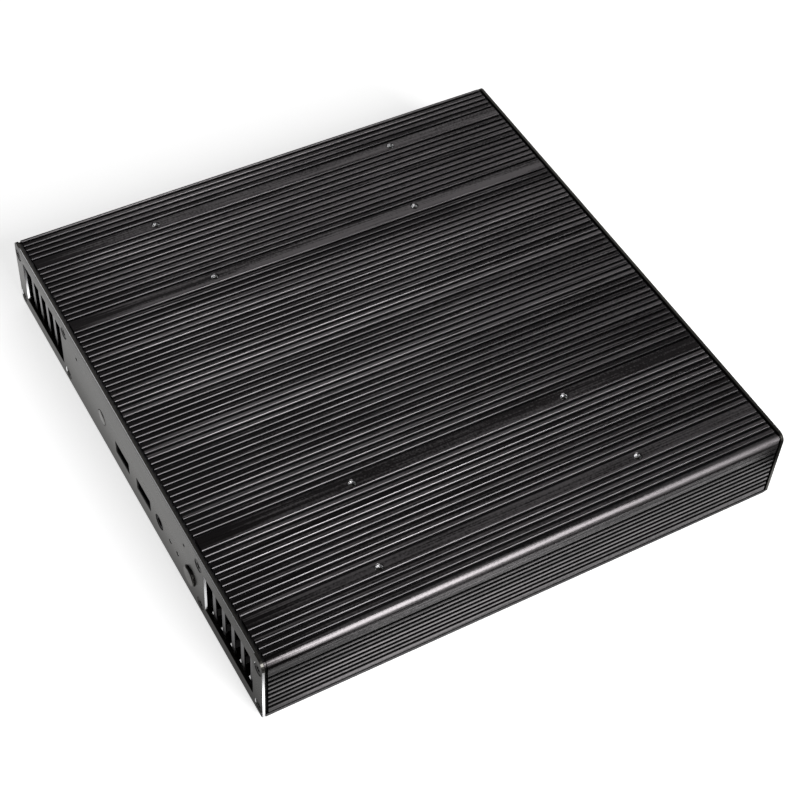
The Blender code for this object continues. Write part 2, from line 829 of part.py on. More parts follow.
def make_base(parts, cutters):
    base = upright_plate(
        "base_plate",
        [base_outline()],
        INNER_FRONT_Y,
        INNER_REAR_Y,
        parts,
        anodised_black("base_anodised"),
    )
    vents = []
    for (x0, y0), (x1, y1) in base_vent_boxes():
        loop = rounded_box((x0, y0), (x1, y1), (1.2 * MM,) * 4)
        vent = flat_mesh("vent", [loop], BASE_THICKNESS * 3)
        vents.append(moved(vent, Matrix.Translation((0, 0, BOTTOM_Z))))
    holes = [
        rod_mesh("hole", (x, y, BOTTOM_Z - MM), (x, y, BASE_TOP_Z + MM), STANDOFF_BORE + SLIP)
        for x, y in standoff_points()
    ]
    boolean(base, vents, cutters)
    boolean(base, holes, cutters)
    countersink(base, base_screw_places() + bracket_screw_places(), BASE_THICKNESS + MM, cutters)
    return base


def make_feet(parts):
    x = HALF_WIDTH - FOOT_INSET_X
    front = FRONT_Y + FOOT_INSET_Y
    rear = REAR_Y - FOOT_INSET_Y
    top = FOOT_PROUD - SEAT_GAP
    profile = [
        (0, top),
        (FOOT_RADIUS, top),
        (FOOT_RADIUS, top * 0.6),
        (FOOT_RADIUS * 0.86, 0),
        (0, 0),
    ]
    for side, across in ((-1, "left"), (1, "right")):
        for y, end in ((front, "front"), (rear, "rear")):
            name = "foot_" + end + "_" + across
            foot = new_object(name, turned_mesh(name, profile, FINE_STEPS), parts, black_rubber(name + "_rubber"))
            foot.location = (side * x, y, 0)
            shade_round(foot)


# Front panel


def panel_outline():
    radii = (PANEL_BOTTOM_RADIUS, PANEL_BOTTOM_RADIUS, PANEL_TOP_RADIUS, PANEL_TOP_RADIUS)
    return rounded_box((-HALF_WIDTH, BOTTOM_Z), (HALF_WIDTH, TOP_Z), radii)


def window_loop(side):
    low = (side * WINDOW_X - WINDOW_WIDTH / 2, WINDOW_Z[0])
    high = (side * WINDOW_X + WINDOW_WIDTH / 2, WINDOW_Z[1])
    return rounded_box(low, high, (WINDOW_CORNER,) * 4)


def make_front_panel(parts, cutters):
    usb_hole = (USB_WIDTH + 2 * SLIP, USB_HEIGHT + 2 * SLIP)
    loops = [window_loop(-1), window_loop(1)]
    for x in (USB_LEFT_X, USB_RIGHT_X):
        loops.append(box_loop((x, ROW_Z), usb_hole, 0.5 * MM))
    loops.append(circle(JACK_X, ROW_Z, JACK_RADIUS + SLIP, FINE_STEPS))
    loops.append(circle(LENS_X, BOTTOM_Z + LENS_Z, LENS_RADIUS + SLIP, FINE_STEPS))
    loops.append(circle(BUTTON_X, BOTTOM_Z + BUTTON_Z, BUTTON_RADIUS + SLIP, FINE_STEPS))
    for x in (LIGHT_DRIVE_X, LIGHT_POWER_X):
        loops.append(circle(x, ROW_Z, LIGHT_RADIUS + SLIP, 12))
    for side in (-1, 1):
        loops.append(circle(side * PIN_HOLE_X, BOTTOM_Z + PIN_HOLE_Z, PIN_HOLE_RADIUS, 12))
    panel = cut_plate(
        "front_panel",
        panel_outline(),
        loops,
        FRONT_Y,
        FRONT_Y + PANEL_THICKNESS,
        parts,
        cutters,
        black_steel("front_panel_finish"),
    )
    countersink(panel, front_screw_places(), PANEL_THICKNESS + MM, cutters)


def grille_loops(side):
    """One grille: a plate with upright slots, which start at the same end in both grilles."""
    inner_x = GRILLE_SCREW_X - GRILLE_MARGIN
    outer_x = WALL_X - SEAT_GAP
    low, high = sorted((side * inner_x, side * outer_x))
    bottom, top = BASE_TOP_Z + SEAT_GAP, ROOF_Z - SEAT_GAP
    loops = [rounded_box((low, bottom), (high, top), (GRILLE_CORNER,) * 4)]
    pitch = GRILLE_SLOT_WIDTH + GRILLE_BAR
    count = int((WINDOW_WIDTH - 2 * GRILLE_SLOT_MARGIN + GRILLE_BAR) / pitch)
    first = side * WINDOW_X - GRILLE_SLOT_OFFSET - (count * pitch - GRILLE_BAR) / 2
    bottom = WINDOW_Z[0] - GRILLE_SLOT_OVERRUN_LOW
    top = WINDOW_Z[1] + GRILLE_SLOT_OVERRUN_HIGH
    for i in range(count):
        start = max(first + i * pitch, low + GRILLE_RIM)
        end = min(first + i * pitch + GRILLE_SLOT_WIDTH, high - GRILLE_RIM)
        loops.append(rounded_box((start, bottom), (end, top), (0.6 * MM,) * 4))
    for z in PORT_Z:
        loops.append(circle(side * GRILLE_SCREW_X, z, PORT_RADIUS))
    return loops


def make_grilles(parts):
    for side, name in ((-1, "vent_grille_left"), (1, "vent_grille_right")):
        front = INNER_FRONT_Y
        upright_plate(
            name, grille_loops(side), front, front + GRILLE_THICKNESS, parts, black_steel(name + "_finish")
        )


def make_grille_nuts(parts):
    front = INNER_FRONT_Y + GRILLE_THICKNESS + SEAT_GAP
    material = bare_steel("nut_zinc")
    for side, across in ((-1, "left"), (1, "right")):
        for z, height in zip(PORT_Z, ("low", "high")):
            x = side * GRILLE_SCREW_X
            loops = [circle(x, z, NUT_RADIUS, 6), circle(x, z, PORT_RADIUS)]
            upright_plate(f"grille_nut_{across}_{height}", loops, front, front + NUT_THICKNESS, parts, material)


# Connectors behind the front panel


def board_top_z():
    return ROW_Z - USB_HEIGHT / 2 - SEAT_GAP


def board_limits_x():
    low = USB_LEFT_X - USB_WIDTH / 2 - BOARD_MARGIN_LEFT
    high = BUTTON_X + SWITCH_WIDTH / 2 + BOARD_MARGIN_RIGHT
    return low, high


def make_usb_socket(name, x, parts, cutters):
    front = FRONT_Y + FLUSH_RECESS
    half_width = USB_WIDTH / 2
    half_height = USB_HEIGHT / 2
    low = (x - half_width, front, ROW_Z - half_height)
    high = (x + half_width, front + USB_DEPTH, ROW_Z + half_height)
    socket = new_object(name, box_mesh(name, low, high), parts, black_plastic(name + "_plastic"))
    inset_x = half_width - USB_WALL
    inset_z = half_height - USB_WALL
    back = front + USB_DEPTH - 2 * USB_WALL
    mouth = box_mesh("mouth", (x - inset_x, front - MM, ROW_Z - inset_z), (x + inset_x, back, ROW_Z + inset_z))
    tongue_low = ROW_Z + inset_z * 0.15
    tongue = box_mesh(
        "tongue",
        (x - USB_TONGUE_WIDTH / 2, front + USB_TONGUE_SETBACK, tongue_low),
        (x + USB_TONGUE_WIDTH / 2, back + USB_WALL, tongue_low + USB_TONGUE_THICKNESS),
    )
    boolean(socket, [mouth], cutters)
    boolean(socket, [tongue], cutters, "UNION")


def make_audio_jack(parts, cutters):
    front = FRONT_Y + FLUSH_RECESS
    body_front = INNER_FRONT_Y
    half = JACK_BODY_WIDTH / 2
    barrel = rod_mesh(
        "audio_jack", (JACK_X, front, ROW_Z), (JACK_X, body_front + MM, ROW_Z), JACK_RADIUS, steps=FINE_STEPS
    )
    jack = new_object("audio_jack", barrel, parts, black_plastic("jack_plastic"))
    body = box_mesh(
        "body",
        (JACK_X - half, body_front, board_top_z() + SEAT_GAP),
        (JACK_X + half, body_front + JACK_BODY_DEPTH, ROW_Z + half),
    )
    bore = rod_mesh(
        "bore",
        (JACK_X, front - MM, ROW_Z),
        (JACK_X, body_front + JACK_BODY_DEPTH - MM, ROW_Z),
        JACK_BORE_RADIUS,
    )
    boolean(jack, [body], cutters, "UNION")
    boolean(jack, [bore], cutters)


def make_status_lights(parts, cutters):
    front = FRONT_Y + FLUSH_RECESS
    for name, x in (("status_light_drive", LIGHT_DRIVE_X), ("status_light_power", LIGHT_POWER_X)):
        mesh = turned_mesh(name, [(0, 0), (LIGHT_RADIUS, 0), (LIGHT_RADIUS, -LIGHT_LENGTH), (0, -LIGHT_LENGTH)])
        light = new_object(name, mesh, parts, clear_plastic(name + "_plastic"))
        light.location = (x, front, ROW_Z)
        light.rotation_euler = (math.pi / 2, 0, 0)
        shade_round(light)
    holder_front = FRONT_Y + BOARD_SETBACK
    low = (LIGHT_DRIVE_X - LIGHT_HOLDER_WALL - LIGHT_RADIUS, holder_front, board_top_z() + SEAT_GAP)
    high = (
        LIGHT_POWER_X + LIGHT_HOLDER_WALL + LIGHT_RADIUS,
        holder_front + LIGHT_HOLDER_DEPTH,
        ROW_Z + LIGHT_HOLDER_WALL + LIGHT_RADIUS,
    )
    holder = new_object("light_holder", box_mesh("light_holder", low, high), parts, black_plastic("holder_plastic"))
    depth = front + LIGHT_LENGTH + SLIP
    bores = [
        rod_mesh("bore", (x, front, ROW_Z), (x, depth, ROW_Z), LIGHT_RADIUS + SLIP, steps=12)
        for x in (LIGHT_DRIVE_X, LIGHT_POWER_X)
    ]
    boolean(holder, bores, cutters)


def make_lens(parts):
    inner = PANEL_THICKNESS + SEAT_GAP
    outer_radius = LENS_RADIUS + LENS_FLANGE
    profile = [
        (0, LENS_PROUD),
        (LENS_RADIUS * 0.7, LENS_PROUD * 0.85),
        (LENS_RADIUS, LENS_PROUD * 0.2),
        (LENS_RADIUS, -inner),
        (outer_radius, -inner),
        (outer_radius, -inner - LENS_FLANGE_THICKNESS),
        (0, -inner - LENS_FLANGE_THICKNESS),
    ]
    lens = new_object(
        "infrared_lens", turned_mesh("infrared_lens", profile, FINE_STEPS), parts, smoked_plastic("lens_plastic")
    )
    lens.location = (LENS_X, FRONT_Y, BOTTOM_Z + LENS_Z)
    lens.rotation_euler = (math.pi / 2, 0, 0)
    shade_round(lens)


def make_button(parts):
    """The cap, its flange behind the panel and the stem, in one piece, on the line it travels."""
    flange_front = PANEL_THICKNESS + SEAT_GAP
    flange_radius = BUTTON_RADIUS + SLIP + BUTTON_FLANGE
    flange_rear = flange_front + BUTTON_FLANGE_THICKNESS
    stem_end = flange_rear + BUTTON_STEM_LENGTH
    profile = [
        (0, BUTTON_PROUD),
        (BUTTON_RADIUS - BUTTON_EDGE, BUTTON_PROUD),
        (BUTTON_RADIUS, BUTTON_PROUD - BUTTON_EDGE),
        (BUTTON_RADIUS, -flange_front),
        (flange_radius, -flange_front),
        (flange_radius, -flange_rear),
        (BUTTON_STEM_RADIUS, -flange_rear),
        (BUTTON_STEM_RADIUS, -stem_end),
        (0, -stem_end),
    ]
    button = new_object(
        "power_button", turned_mesh("power_button", profile, FINE_STEPS), parts, black_plastic("button_plastic")
    )
    button.location = (BUTTON_X, FRONT_Y, BOTTOM_Z + BUTTON_Z)
    button.rotation_euler = (math.pi / 2, 0, 0)
    shade_round(button)


def make_switch(parts, cutters):
    """The switch housing that takes the stem of the button."""
    z = BOTTOM_Z + BUTTON_Z
    flange_rear = INNER_FRONT_Y + BUTTON_FLANGE_THICKNESS
    front = flange_rear + BUTTON_TRAVEL + 2 * SLIP
    stem_end = flange_rear + BUTTON_STEM_LENGTH
    bore_end = stem_end + BUTTON_TRAVEL + SLIP
    half = SWITCH_WIDTH / 2
    low = (BUTTON_X - half, front, board_top_z() + SEAT_GAP)
    high = (BUTTON_X + half, max(front + SWITCH_DEPTH, bore_end + SWITCH_WALL), z + half)
    switch = new_object("power_switch", box_mesh("power_switch", low, high), parts, black_plastic("switch_plastic"))
    bore = rod_mesh("bore", (BUTTON_X, front - MM, z), (BUTTON_X, bore_end, z), BUTTON_STEM_RADIUS + SLIP)
    boolean(switch, [bore], cutters)


def make_port_board(parts):
    x0, x1 = board_limits_x()
    front = FRONT_Y + BOARD_SETBACK
    loops = [rounded_box((x0, front), (x1, front + BOARD_DEPTH), (0.8 * MM,) * 4)]
    loops += [circle(x, y, PORT_RADIUS) for x, y in board_screw_points()]
    top = board_top_z()
    level_plate("port_board", loops, top - BOARD_THICKNESS, top, parts, green_board("board_laminate"))


def bracket_screw_places():
    x0, x1 = board_limits_x()
    y = FRONT_Y + BOARD_SETBACK + BOARD_DEPTH / 2
    z = BOTTOM_Z + SCREW_SUNK
    reach = BRACKET_FLANGE * 0.6
    return [((x0 + reach, y, z), (0, 0, -1)), ((x1 - reach, y, z), (0, 0, -1))]


def board_screw_points():
    x0, x1 = board_limits_x()
    y = FRONT_Y + BOARD_SETBACK + BOARD_DEPTH - BOARD_SCREW_INSET
    return [(x0 + BOARD_SCREW_INSET, y), (x1 - BOARD_SCREW_INSET, y)]


def make_port_bracket(parts, cutters):
    """A sheet folded as a low bridge: a deck below the board and a flange at each side, turned in."""
    x0, x1 = board_limits_x()
    sheet = BRACKET_THICKNESS
    foot = BASE_TOP_Z + SEAT_GAP
    deck = board_top_z() - BOARD_THICKNESS - SEAT_GAP
    section = [
        (x0, foot),
        (x0 + BRACKET_FLANGE, foot),
        (x0 + BRACKET_FLANGE, foot + sheet),
        (x0 + sheet, foot + sheet),
        (x0 + sheet, deck - sheet),
        (x1 - sheet, deck - sheet),
        (x1 - sheet, foot + sheet),
        (x1 - BRACKET_FLANGE, foot + sheet),
        (x1 - BRACKET_FLANGE, foot),
        (x1, foot),
        (x1, deck),
        (x0, deck),
    ]
    front = FRONT_Y + BOARD_SETBACK
    bracket = upright_plate(
        "port_bracket", [section], front, front + BOARD_DEPTH, parts, bare_steel("bracket_zinc")
    )
    holes = [
        rod_mesh("hole", (x, y, foot - MM), (x, y, foot + sheet + MM), PORT_RADIUS)
        for (x, y, _), _ in bracket_screw_places()
    ]
    holes += [
        rod_mesh("hole", (x, y, deck - 2 * sheet), (x, y, deck + MM), PORT_RADIUS)
        for x, y in board_screw_points()
    ]
    boolean(bracket, holes, cutters)


def make_board_screws(parts):
    seat = board_top_z() + SEAT_GAP
    length = 2 * SEAT_GAP + BOARD_THICKNESS + BRACKET_THICKNESS + SEAT_GAP
    places = [((x, y, seat), (0, 0, 1)) for x, y in board_screw_points()]
    screw = with_recess(pan_head_mesh(length), PAN_HEAD_HEIGHT)
    place_screws("board_screw", screw, places, parts, bare_steel("board_screw_zinc"))


# Inside of the case


def make_standoffs(parts):
    low = BASE_TOP_Z + SEAT_GAP
    material = bare_steel("standoff_zinc")
    for number, (x, y) in enumerate(standoff_points(), start=1):
        loops = [circle(x, y, STANDOFF_RADIUS, 6), circle(x, y, STANDOFF_BORE)]
        level_plate(f"board_standoff_{number}", loops, low, low + STANDOFF_HEIGHT, parts, material)


def drive_plate_section(side):
    """The plate below the roof with a lip folded down along its inner edge."""
    top = ROOF_Z - SEAT_GAP
    low = top - DRIVE_PLATE_THICKNESS
    inner = DRIVE_PLATE_INNER_X
    outer = WALL_X - SEAT_GAP - INNER_FILLET
    lip = low - DRIVE_PLATE_LIP
    section = [
        (inner, lip),
        (inner + DRIVE_PLATE_THICKNESS, lip),
        (inner + DRIVE_PLATE_THICKNESS, low),
        (outer, low),
        (outer, top),
        (inner, top),
    ]
    return [(side * x, z) for x, z in section]


def fused_screw(point, length):
    """A screw that hangs from the roof and is one with the part it holds."""
    screw = with_recess(pan_head_mesh(length), PAN_HEAD_HEIGHT)
    return moved(screw, Matrix.Translation(point) @ facing((0, 0, -1)))


def make_drive_plates(parts, cutters):
    low = ROOF_Z - SEAT_GAP - DRIVE_PLATE_THICKNESS
    outer = WALL_X - SEAT_GAP - INNER_FILLET
    seat = low + HEAD_BITE
    for side, name in ((-1, "drive_plate_left"), (1, "drive_plate_right")):
        plate = upright_plate(
            name,
            [drive_plate_section(side)],
            -DRIVE_PLATE_HALF_DEPTH,
            DRIVE_PLATE_HALF_DEPTH,
            parts,
            bare_steel(name + "_zinc"),
        )
        tools = [
            rod_mesh("hole", (x, y, low - MM), (x, y, ROOF_Z), DRIVE_HOLE_RADIUS)
            for x in (side * (DRIVE_PLATE_INNER_X + DRIVE_HOLE_MARGIN), side * (outer - DRIVE_HOLE_MARGIN))
            for y in (-DRIVE_HOLE_SPAN_Y / 2, DRIVE_HOLE_SPAN_Y / 2)
        ]
        boolean(plate, tools, cutters)
        reach = ROOF_Z + ROOF_SCREW_REACH - seat
        screws = [fused_screw((x, y, seat), reach) for x, y in ROOF_HOLES if x * side > 0]
        boolean(plate, screws, cutters, "UNION")


def pipe_z():
    return ROOF_Z - SEAT_GAP - PIPE_RADIUS


def channel_tools(y_low, y_high):
    """U-shaped channels, open to the roof, that take the two pipes."""
    radius = PIPE_RADIUS + SEAT_GAP
    tools = []
    for side in (-1, 1):
        x = side * PIPE_X
        z = pipe_z()
        loop = arc((x, z), radius, 180, 360, ROUND_STEPS) + [(x + radius, ROOF_Z + MM), (x - radius, ROOF_Z + MM)]
        channel = flat_mesh("channel", [loop], y_high - y_low + 2 * MM)
        turn = Matrix.Rotation(math.pi / 2, 4, "X")
        tools.append(moved(channel, Matrix.Translation((0, (y_low + y_high) / 2, 0)) @ turn))
    return tools


def make_roof_bar(name, y_low, y_high, height, parts, cutters, material):
    """A block below the roof with pipe channels, in one with the screws that hold it."""
    top = ROOF_Z - SEAT_GAP
    half = BLOCK_WIDTH / 2
    bar = new_object(name, box_mesh(name, (-half, y_low, top - height), (half, y_high, top)), parts, material)
    edge = bar.modifiers.new("edge", "BEVEL")
    edge.width = BLOCK_CHAMFER
    edge.segments = 1
    boolean(bar, channel_tools(y_low, y_high), cutters)
    seat = top - height + HEAD_BITE
    reach = ROOF_Z + ROOF_SCREW_REACH - seat
    screws = [fused_screw((x, y, seat), reach) for x, y in clamp_screw_points() if y_low < y < y_high]
    boolean(bar, screws, cutters, "UNION")


def make_cooling(parts, cutters):
    half = BLOCK_DEPTH / 2
    make_roof_bar(
        "contact_block", BLOCK_Y - half, BLOCK_Y + half, BLOCK_HEIGHT, parts, cutters, bare_aluminium("block_milled")
    )
    for name, y in (("pipe_clamp_front", CLAMP_FRONT_Y), ("pipe_clamp_rear", CLAMP_REAR_Y)):
        near, far = y - CLAMP_DEPTH / 2, y + CLAMP_DEPTH / 2
        make_roof_bar(name, near, far, CLAMP_HEIGHT, parts, cutters, bare_aluminium(name + "_milled"))
    half_pipe = (CLAMP_REAR_Y - CLAMP_FRONT_Y) / 2 + PIPE_OVERHANG
    for side, name in ((-1, "heat_pipe_left"), (1, "heat_pipe_right")):
        profile = [
            (0, half_pipe),
            (PIPE_RADIUS * 0.45, half_pipe - PIPE_TIP * 0.2),
            (PIPE_RADIUS, half_pipe - PIPE_TIP),
            (PIPE_RADIUS, PIPE_TIP - half_pipe),
            (PIPE_RADIUS * 0.45, PIPE_TIP * 0.2 - half_pipe),
            (0, -half_pipe),
        ]
        pipe = new_object(name, turned_mesh(name, profile, ROUND_STEPS), parts, copper(name + "_copper"))
        pipe.location = (side * PIPE_X, (CLAMP_FRONT_Y + CLAMP_REAR_Y) / 2, pipe_z())
        pipe.rotation_euler = (math.pi / 2, 0, 0)
        shade_round(pipe)


# Rear panel


def rear_slot_loops():
    loops = []
    edge = IO_WIDTH / 2 + REAR_SLOT_MARGIN
    space = HALF_WIDTH - WINDOW_INSET - edge + REAR_SLOT_PITCH - REAR_SLOT_WIDTH
    for side in (-1, 1):
        for i in range(int(space / REAR_SLOT_PITCH)):
            x = edge + REAR_SLOT_WIDTH / 2 + i * REAR_SLOT_PITCH
            centre = (side * x, (WINDOW_Z[0] + WINDOW_Z[1]) / 2)
            size = (REAR_SLOT_WIDTH, WINDOW_Z[1] - WINDOW_Z[0])
            loops.append(box_loop(centre, size, REAR_SLOT_WIDTH * 0.45))
    return loops


def make_rear_panel(parts, cutters):
    low = (-IO_WIDTH / 2, BOTTOM_Z + IO_LOW)
    high = (IO_WIDTH / 2, BOTTOM_Z + IO_LOW + IO_HEIGHT)
    panel = cut_plate(
        "rear_panel",
        panel_outline(),
        [rounded_box(low, high, (IO_CORNER,) * 4)] + rear_slot_loops(),
        REAR_Y - PANEL_THICKNESS,
        REAR_Y,
        parts,
        cutters,
        black_steel("rear_panel_finish"),
    )
    countersink(panel, rear_screw_places(), PANEL_THICKNESS + MM, cutters)


def make_case_screws(parts):
    screw = with_recess(countersunk_mesh(PANEL_SCREW_LENGTH), 0)
    for name, places in (
        ("front_screw", front_screw_places()),
        ("rear_screw", rear_screw_places()),
        ("base_screw", base_screw_places()),
    ):
        place_screws(name, screw, places, parts, black_steel(name + "_finish"))
    short = with_recess(countersunk_mesh(BASE_THICKNESS + SEAT_GAP + BRACKET_THICKNESS + MM), 0)
    place_screws("bracket_screw", short, bracket_screw_places(), parts, black_steel("bracket_screw_finish"))


def main():
    clear_scene()
    parts = new_collection("mini_pc_case")
    cutters = new_collection("cutters", hidden=True)
    make_shell(parts, cutters)
    make_base(parts, cutters)
    make_feet(parts)
    make_front_panel(parts, cutters)
    make_rear_panel(parts, cutters)
    make_case_screws(parts)
    make_grilles(parts)
    make_grille_nuts(parts)
    make_usb_socket("usb_socket_left", USB_LEFT_X, parts, cutters)
    make_usb_socket("usb_socket_right", USB_RIGHT_X, parts, cutters)
    make_audio_jack(parts, cutters)
    make_status_lights(parts, cutters)
    make_lens(parts)
    make_button(parts)
    make_switch(parts, cutters)
    make_port_board(parts)
    make_port_bracket(parts, cutters)
    make_board_screws(parts)
    make_standoffs(parts)
    make_drive_plates(parts, cutters)
    make_cooling(parts, cutters)


main()
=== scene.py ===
# %% [markdown]
# # A low fanless computer case
# The real object is a black anodised aluminium extrusion that works as its own heat sink,
# closed by two flat end panels and a flat base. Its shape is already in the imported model,
# so this lesson is about the finishes, the small parts in the openings, and the light.

import math
from types import SimpleNamespace

import bmesh
import bpy
from mathutils import Matrix, Vector


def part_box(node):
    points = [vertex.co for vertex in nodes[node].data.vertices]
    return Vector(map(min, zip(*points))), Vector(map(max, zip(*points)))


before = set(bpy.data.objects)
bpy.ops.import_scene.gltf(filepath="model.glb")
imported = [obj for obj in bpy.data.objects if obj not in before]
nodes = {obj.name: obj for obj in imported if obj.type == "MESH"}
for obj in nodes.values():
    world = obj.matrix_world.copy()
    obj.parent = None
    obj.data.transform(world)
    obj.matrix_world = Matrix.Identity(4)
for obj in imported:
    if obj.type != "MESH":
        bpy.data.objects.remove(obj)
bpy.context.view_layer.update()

# %% [markdown]
# ## Camera
# The photograph looks down on one corner from about three quarters of a metre. A camera can
# be set by eye, or by three unit directions: to the right of the picture, down the picture
# and into it. The directions are used here, because they keep the small roll of the shot.

# %% Camera
MM = 0.001
PHOTO_RIGHT = Vector((0.48557466, 0.87284299, 0.04860408))
PHOTO_DOWN = Vector((0.68296957, -0.34406562, -0.64433797))
PHOTO_AHEAD = Vector((-0.54568289, 0.3460693, -0.76319475))
PHOTO_PLACE = Vector((0.42037, -0.25717, 0.57968))
LENS_LENGTH = 80.54

camera_data = bpy.data.cameras.new("photo_camera")
camera_data.lens = LENS_LENGTH
camera_data.sensor_width = 36.0
camera_data.clip_start = 0.01
camera = bpy.data.objects.new("photo_camera", camera_data)
turn = Matrix((PHOTO_RIGHT, -PHOTO_DOWN, -PHOTO_AHEAD)).transposed().to_4x4()
camera.matrix_world = Matrix.Translation(PHOTO_PLACE) @ turn
bpy.context.scene.collection.objects.link(camera)
bpy.context.scene.camera = camera
bpy.context.scene.view_settings.view_transform = "Standard"
print("camera stands", round(PHOTO_PLACE.length, 3), "m from the middle of the case")

# %% [markdown]
# ## Light
# Black metal shows little colour of its own: what the eye reads is the lamps and the
# floor mirrored in it. One soft lamp on the right, about 27 degrees up, gives the bright
# line along the shoulder and along every rib; on the shoulder a painted highlight adds to it.
# A weak lamp behind on the left lifts the lands of the roof, and a nearly black room keeps
# the grooves dark, together with painted shade in them. Point lamps would give hard
# glints. The camera alone sees the room as white.


# %% Soft lamps
def soft_lamp(name, toward, distance, width, height, radiance):
    """An area lamp that looks at the middle of the case; radiance 1 looks white in a mirror."""
    lamp = bpy.data.lights.new(name, "AREA")
    lamp.shape = "RECTANGLE"
    lamp.size, lamp.size_y = width, height
    lamp.energy = math.pi * width * height * radiance
    holder = bpy.data.objects.new(name, lamp)
    direction = Vector(toward).normalized()
    holder.location = direction * distance
    holder.rotation_euler = direction.to_track_quat("Z", "Y").to_euler()
    bpy.context.scene.collection.objects.link(holder)
    return holder


LAMP_RIGHT = dict(toward=(0.85, 0.15, 0.45), distance=1.5, width=0.80, height=1.10, radiance=10.0)
LAMP_REAR = dict(toward=(-0.68, 0.38, 0.58), distance=1.6, width=1.1, height=1.1, radiance=0.60)
soft_lamp("lamp_right", **LAMP_RIGHT)
soft_lamp("lamp_rear_left", **LAMP_REAR)

# %% Room
ROOM_LIGHT = 0.08
SEEN_LIGHT = 1.0

world = bpy.data.worlds.new("studio")
world.use_nodes = True
bpy.context.scene.world = world
tree = world.node_tree
tree.nodes.clear()
path = tree.nodes.new("ShaderNodeLightPath")
choose = tree.nodes.new("ShaderNodeMixShader")
out = tree.nodes.new("ShaderNodeOutputWorld")
tree.links.new(path.outputs["Is Camera Ray"], choose.inputs["Fac"])
for slot, strength in ((1, ROOM_LIGHT), (2, SEEN_LIGHT)):
    room = tree.nodes.new("ShaderNodeBackground")
    room.inputs["Color"].default_value = (1, 1, 1, 1)
    room.inputs["Strength"].default_value = strength
    tree.links.new(room.outputs[0], choose.inputs[slot])
tree.links.new(choose.outputs[0], out.inputs["Surface"])
print("room light:", ROOM_LIGHT, "for the metal and", SEEN_LIGHT, "for the camera")

# %% [markdown]
# ## Helpers for node trees
# Most finishes here are worked out with numbers: a distance, a mask, a share. Each of those
# is a small node, and wiring them one by one hides what is meant. These helpers make a node,
# do one calculation, take a value from one range to another, and read where a point is.


# %% Node helpers
def add_node(tree, kind, **inputs):
    """A node with some of its inputs set by name; underscores stand for spaces."""
    node = tree.nodes.new(kind)
    for name, value in inputs.items():
        node.inputs[name.replace("_", " ")].default_value = value
    return node


def calculate(tree, operation, first, second=None, third=None):
    """A math node; each operand is a socket or a number. Returns its output."""
    node = tree.nodes.new("ShaderNodeMath")
    node.operation = operation
    for slot, value in enumerate((first, second, third)):
        if value is None:
            continue
        if isinstance(value, (int, float)):
            node.inputs[slot].default_value = value
        else:
            tree.links.new(value, node.inputs[slot])
    return node.outputs[0]


def product(tree, *factors):
    """All factors multiplied, from the left."""
    total = factors[0]
    for factor in factors[1:]:
        total = calculate(tree, "MULTIPLY", total, factor)
    return total


def map_range(tree, value, source, target, smooth=True):
    """Takes a value from one range to another and holds it at the ends."""
    node = tree.nodes.new("ShaderNodeMapRange")
    node.interpolation_type = "SMOOTHSTEP" if smooth else "LINEAR"
    node.inputs["From Min"].default_value, node.inputs["From Max"].default_value = source
    node.inputs["To Min"].default_value, node.inputs["To Max"].default_value = target
    tree.links.new(value, node.inputs["Value"])
    return node.outputs["Result"]


def coordinates(tree, kind="Object"):
    """X, Y and Z of a point, or of its normal, in the piece's own frame."""
    place = tree.nodes.new("ShaderNodeTexCoord")
    split = tree.nodes.new("ShaderNodeSeparateXYZ")
    tree.links.new(place.outputs[kind], split.inputs[0])
    return split.outputs["X"], split.outputs["Y"], split.outputs["Z"]


# %% [markdown]
# ## Floor
# The case stands on a sheet of plain white paper. For the camera the paper is nearly white
# by itself and the lamps add the rest, so the soft shadow of the case stays. In the black
# metal the paper is mirrored too, as a glow that only mirrors see, and there it matters how
# far it reaches. That glow carries painted shade and painted light: it is dim close under the
# edges of the case, white from there on, and it ends less than 20 mm away, where the dark
# room begins. At the left it reaches further, it is painted brighter towards the front and
# beside the right side, and at the near end of the front it carries painted shade. A real
# sheet of that size would show its edge to the camera, so the sheet is large and only its
# mirror image is cut off, by the distance to the case.

# %% Distances on the floor
CASE_HALF_WIDTH = 118.25 * MM
CASE_HALF_DEPTH = 115.0 * MM
LEFT_STRETCH = 0.3
LEFT_TO_RIGHT = (-10.0 * MM, 10.0 * MM)


def outline_distances(tree):
    """How far a point is outside the case and under it, its X and Y, and 1 between the sides."""
    x, y, _ = coordinates(tree)
    past_x = calculate(tree, "SUBTRACT", calculate(tree, "ABSOLUTE", x), CASE_HALF_WIDTH)
    past_y = calculate(tree, "SUBTRACT", calculate(tree, "ABSOLUTE", y), CASE_HALF_DEPTH)
    stretch = map_range(tree, x, LEFT_TO_RIGHT, (LEFT_STRETCH, 1.0))
    out_x = product(tree, calculate(tree, "MAXIMUM", past_x, 0.0), stretch)
    out_y = calculate(tree, "MAXIMUM", past_y, 0.0)
    square = calculate(tree, "MULTIPLY", out_x, out_x)
    outside = calculate(tree, "SQRT", calculate(tree, "MULTIPLY_ADD", out_y, out_y, square))
    under = calculate(tree, "MULTIPLY", calculate(tree, "MAXIMUM", past_x, past_y), -1.0)
    ahead = calculate(tree, "LESS_THAN", past_x, 0.0)
    return outside, under, x, y, ahead


print("outline in mm:", round(2000 * CASE_HALF_WIDTH, 1), "x", round(2000 * CASE_HALF_DEPTH, 1))

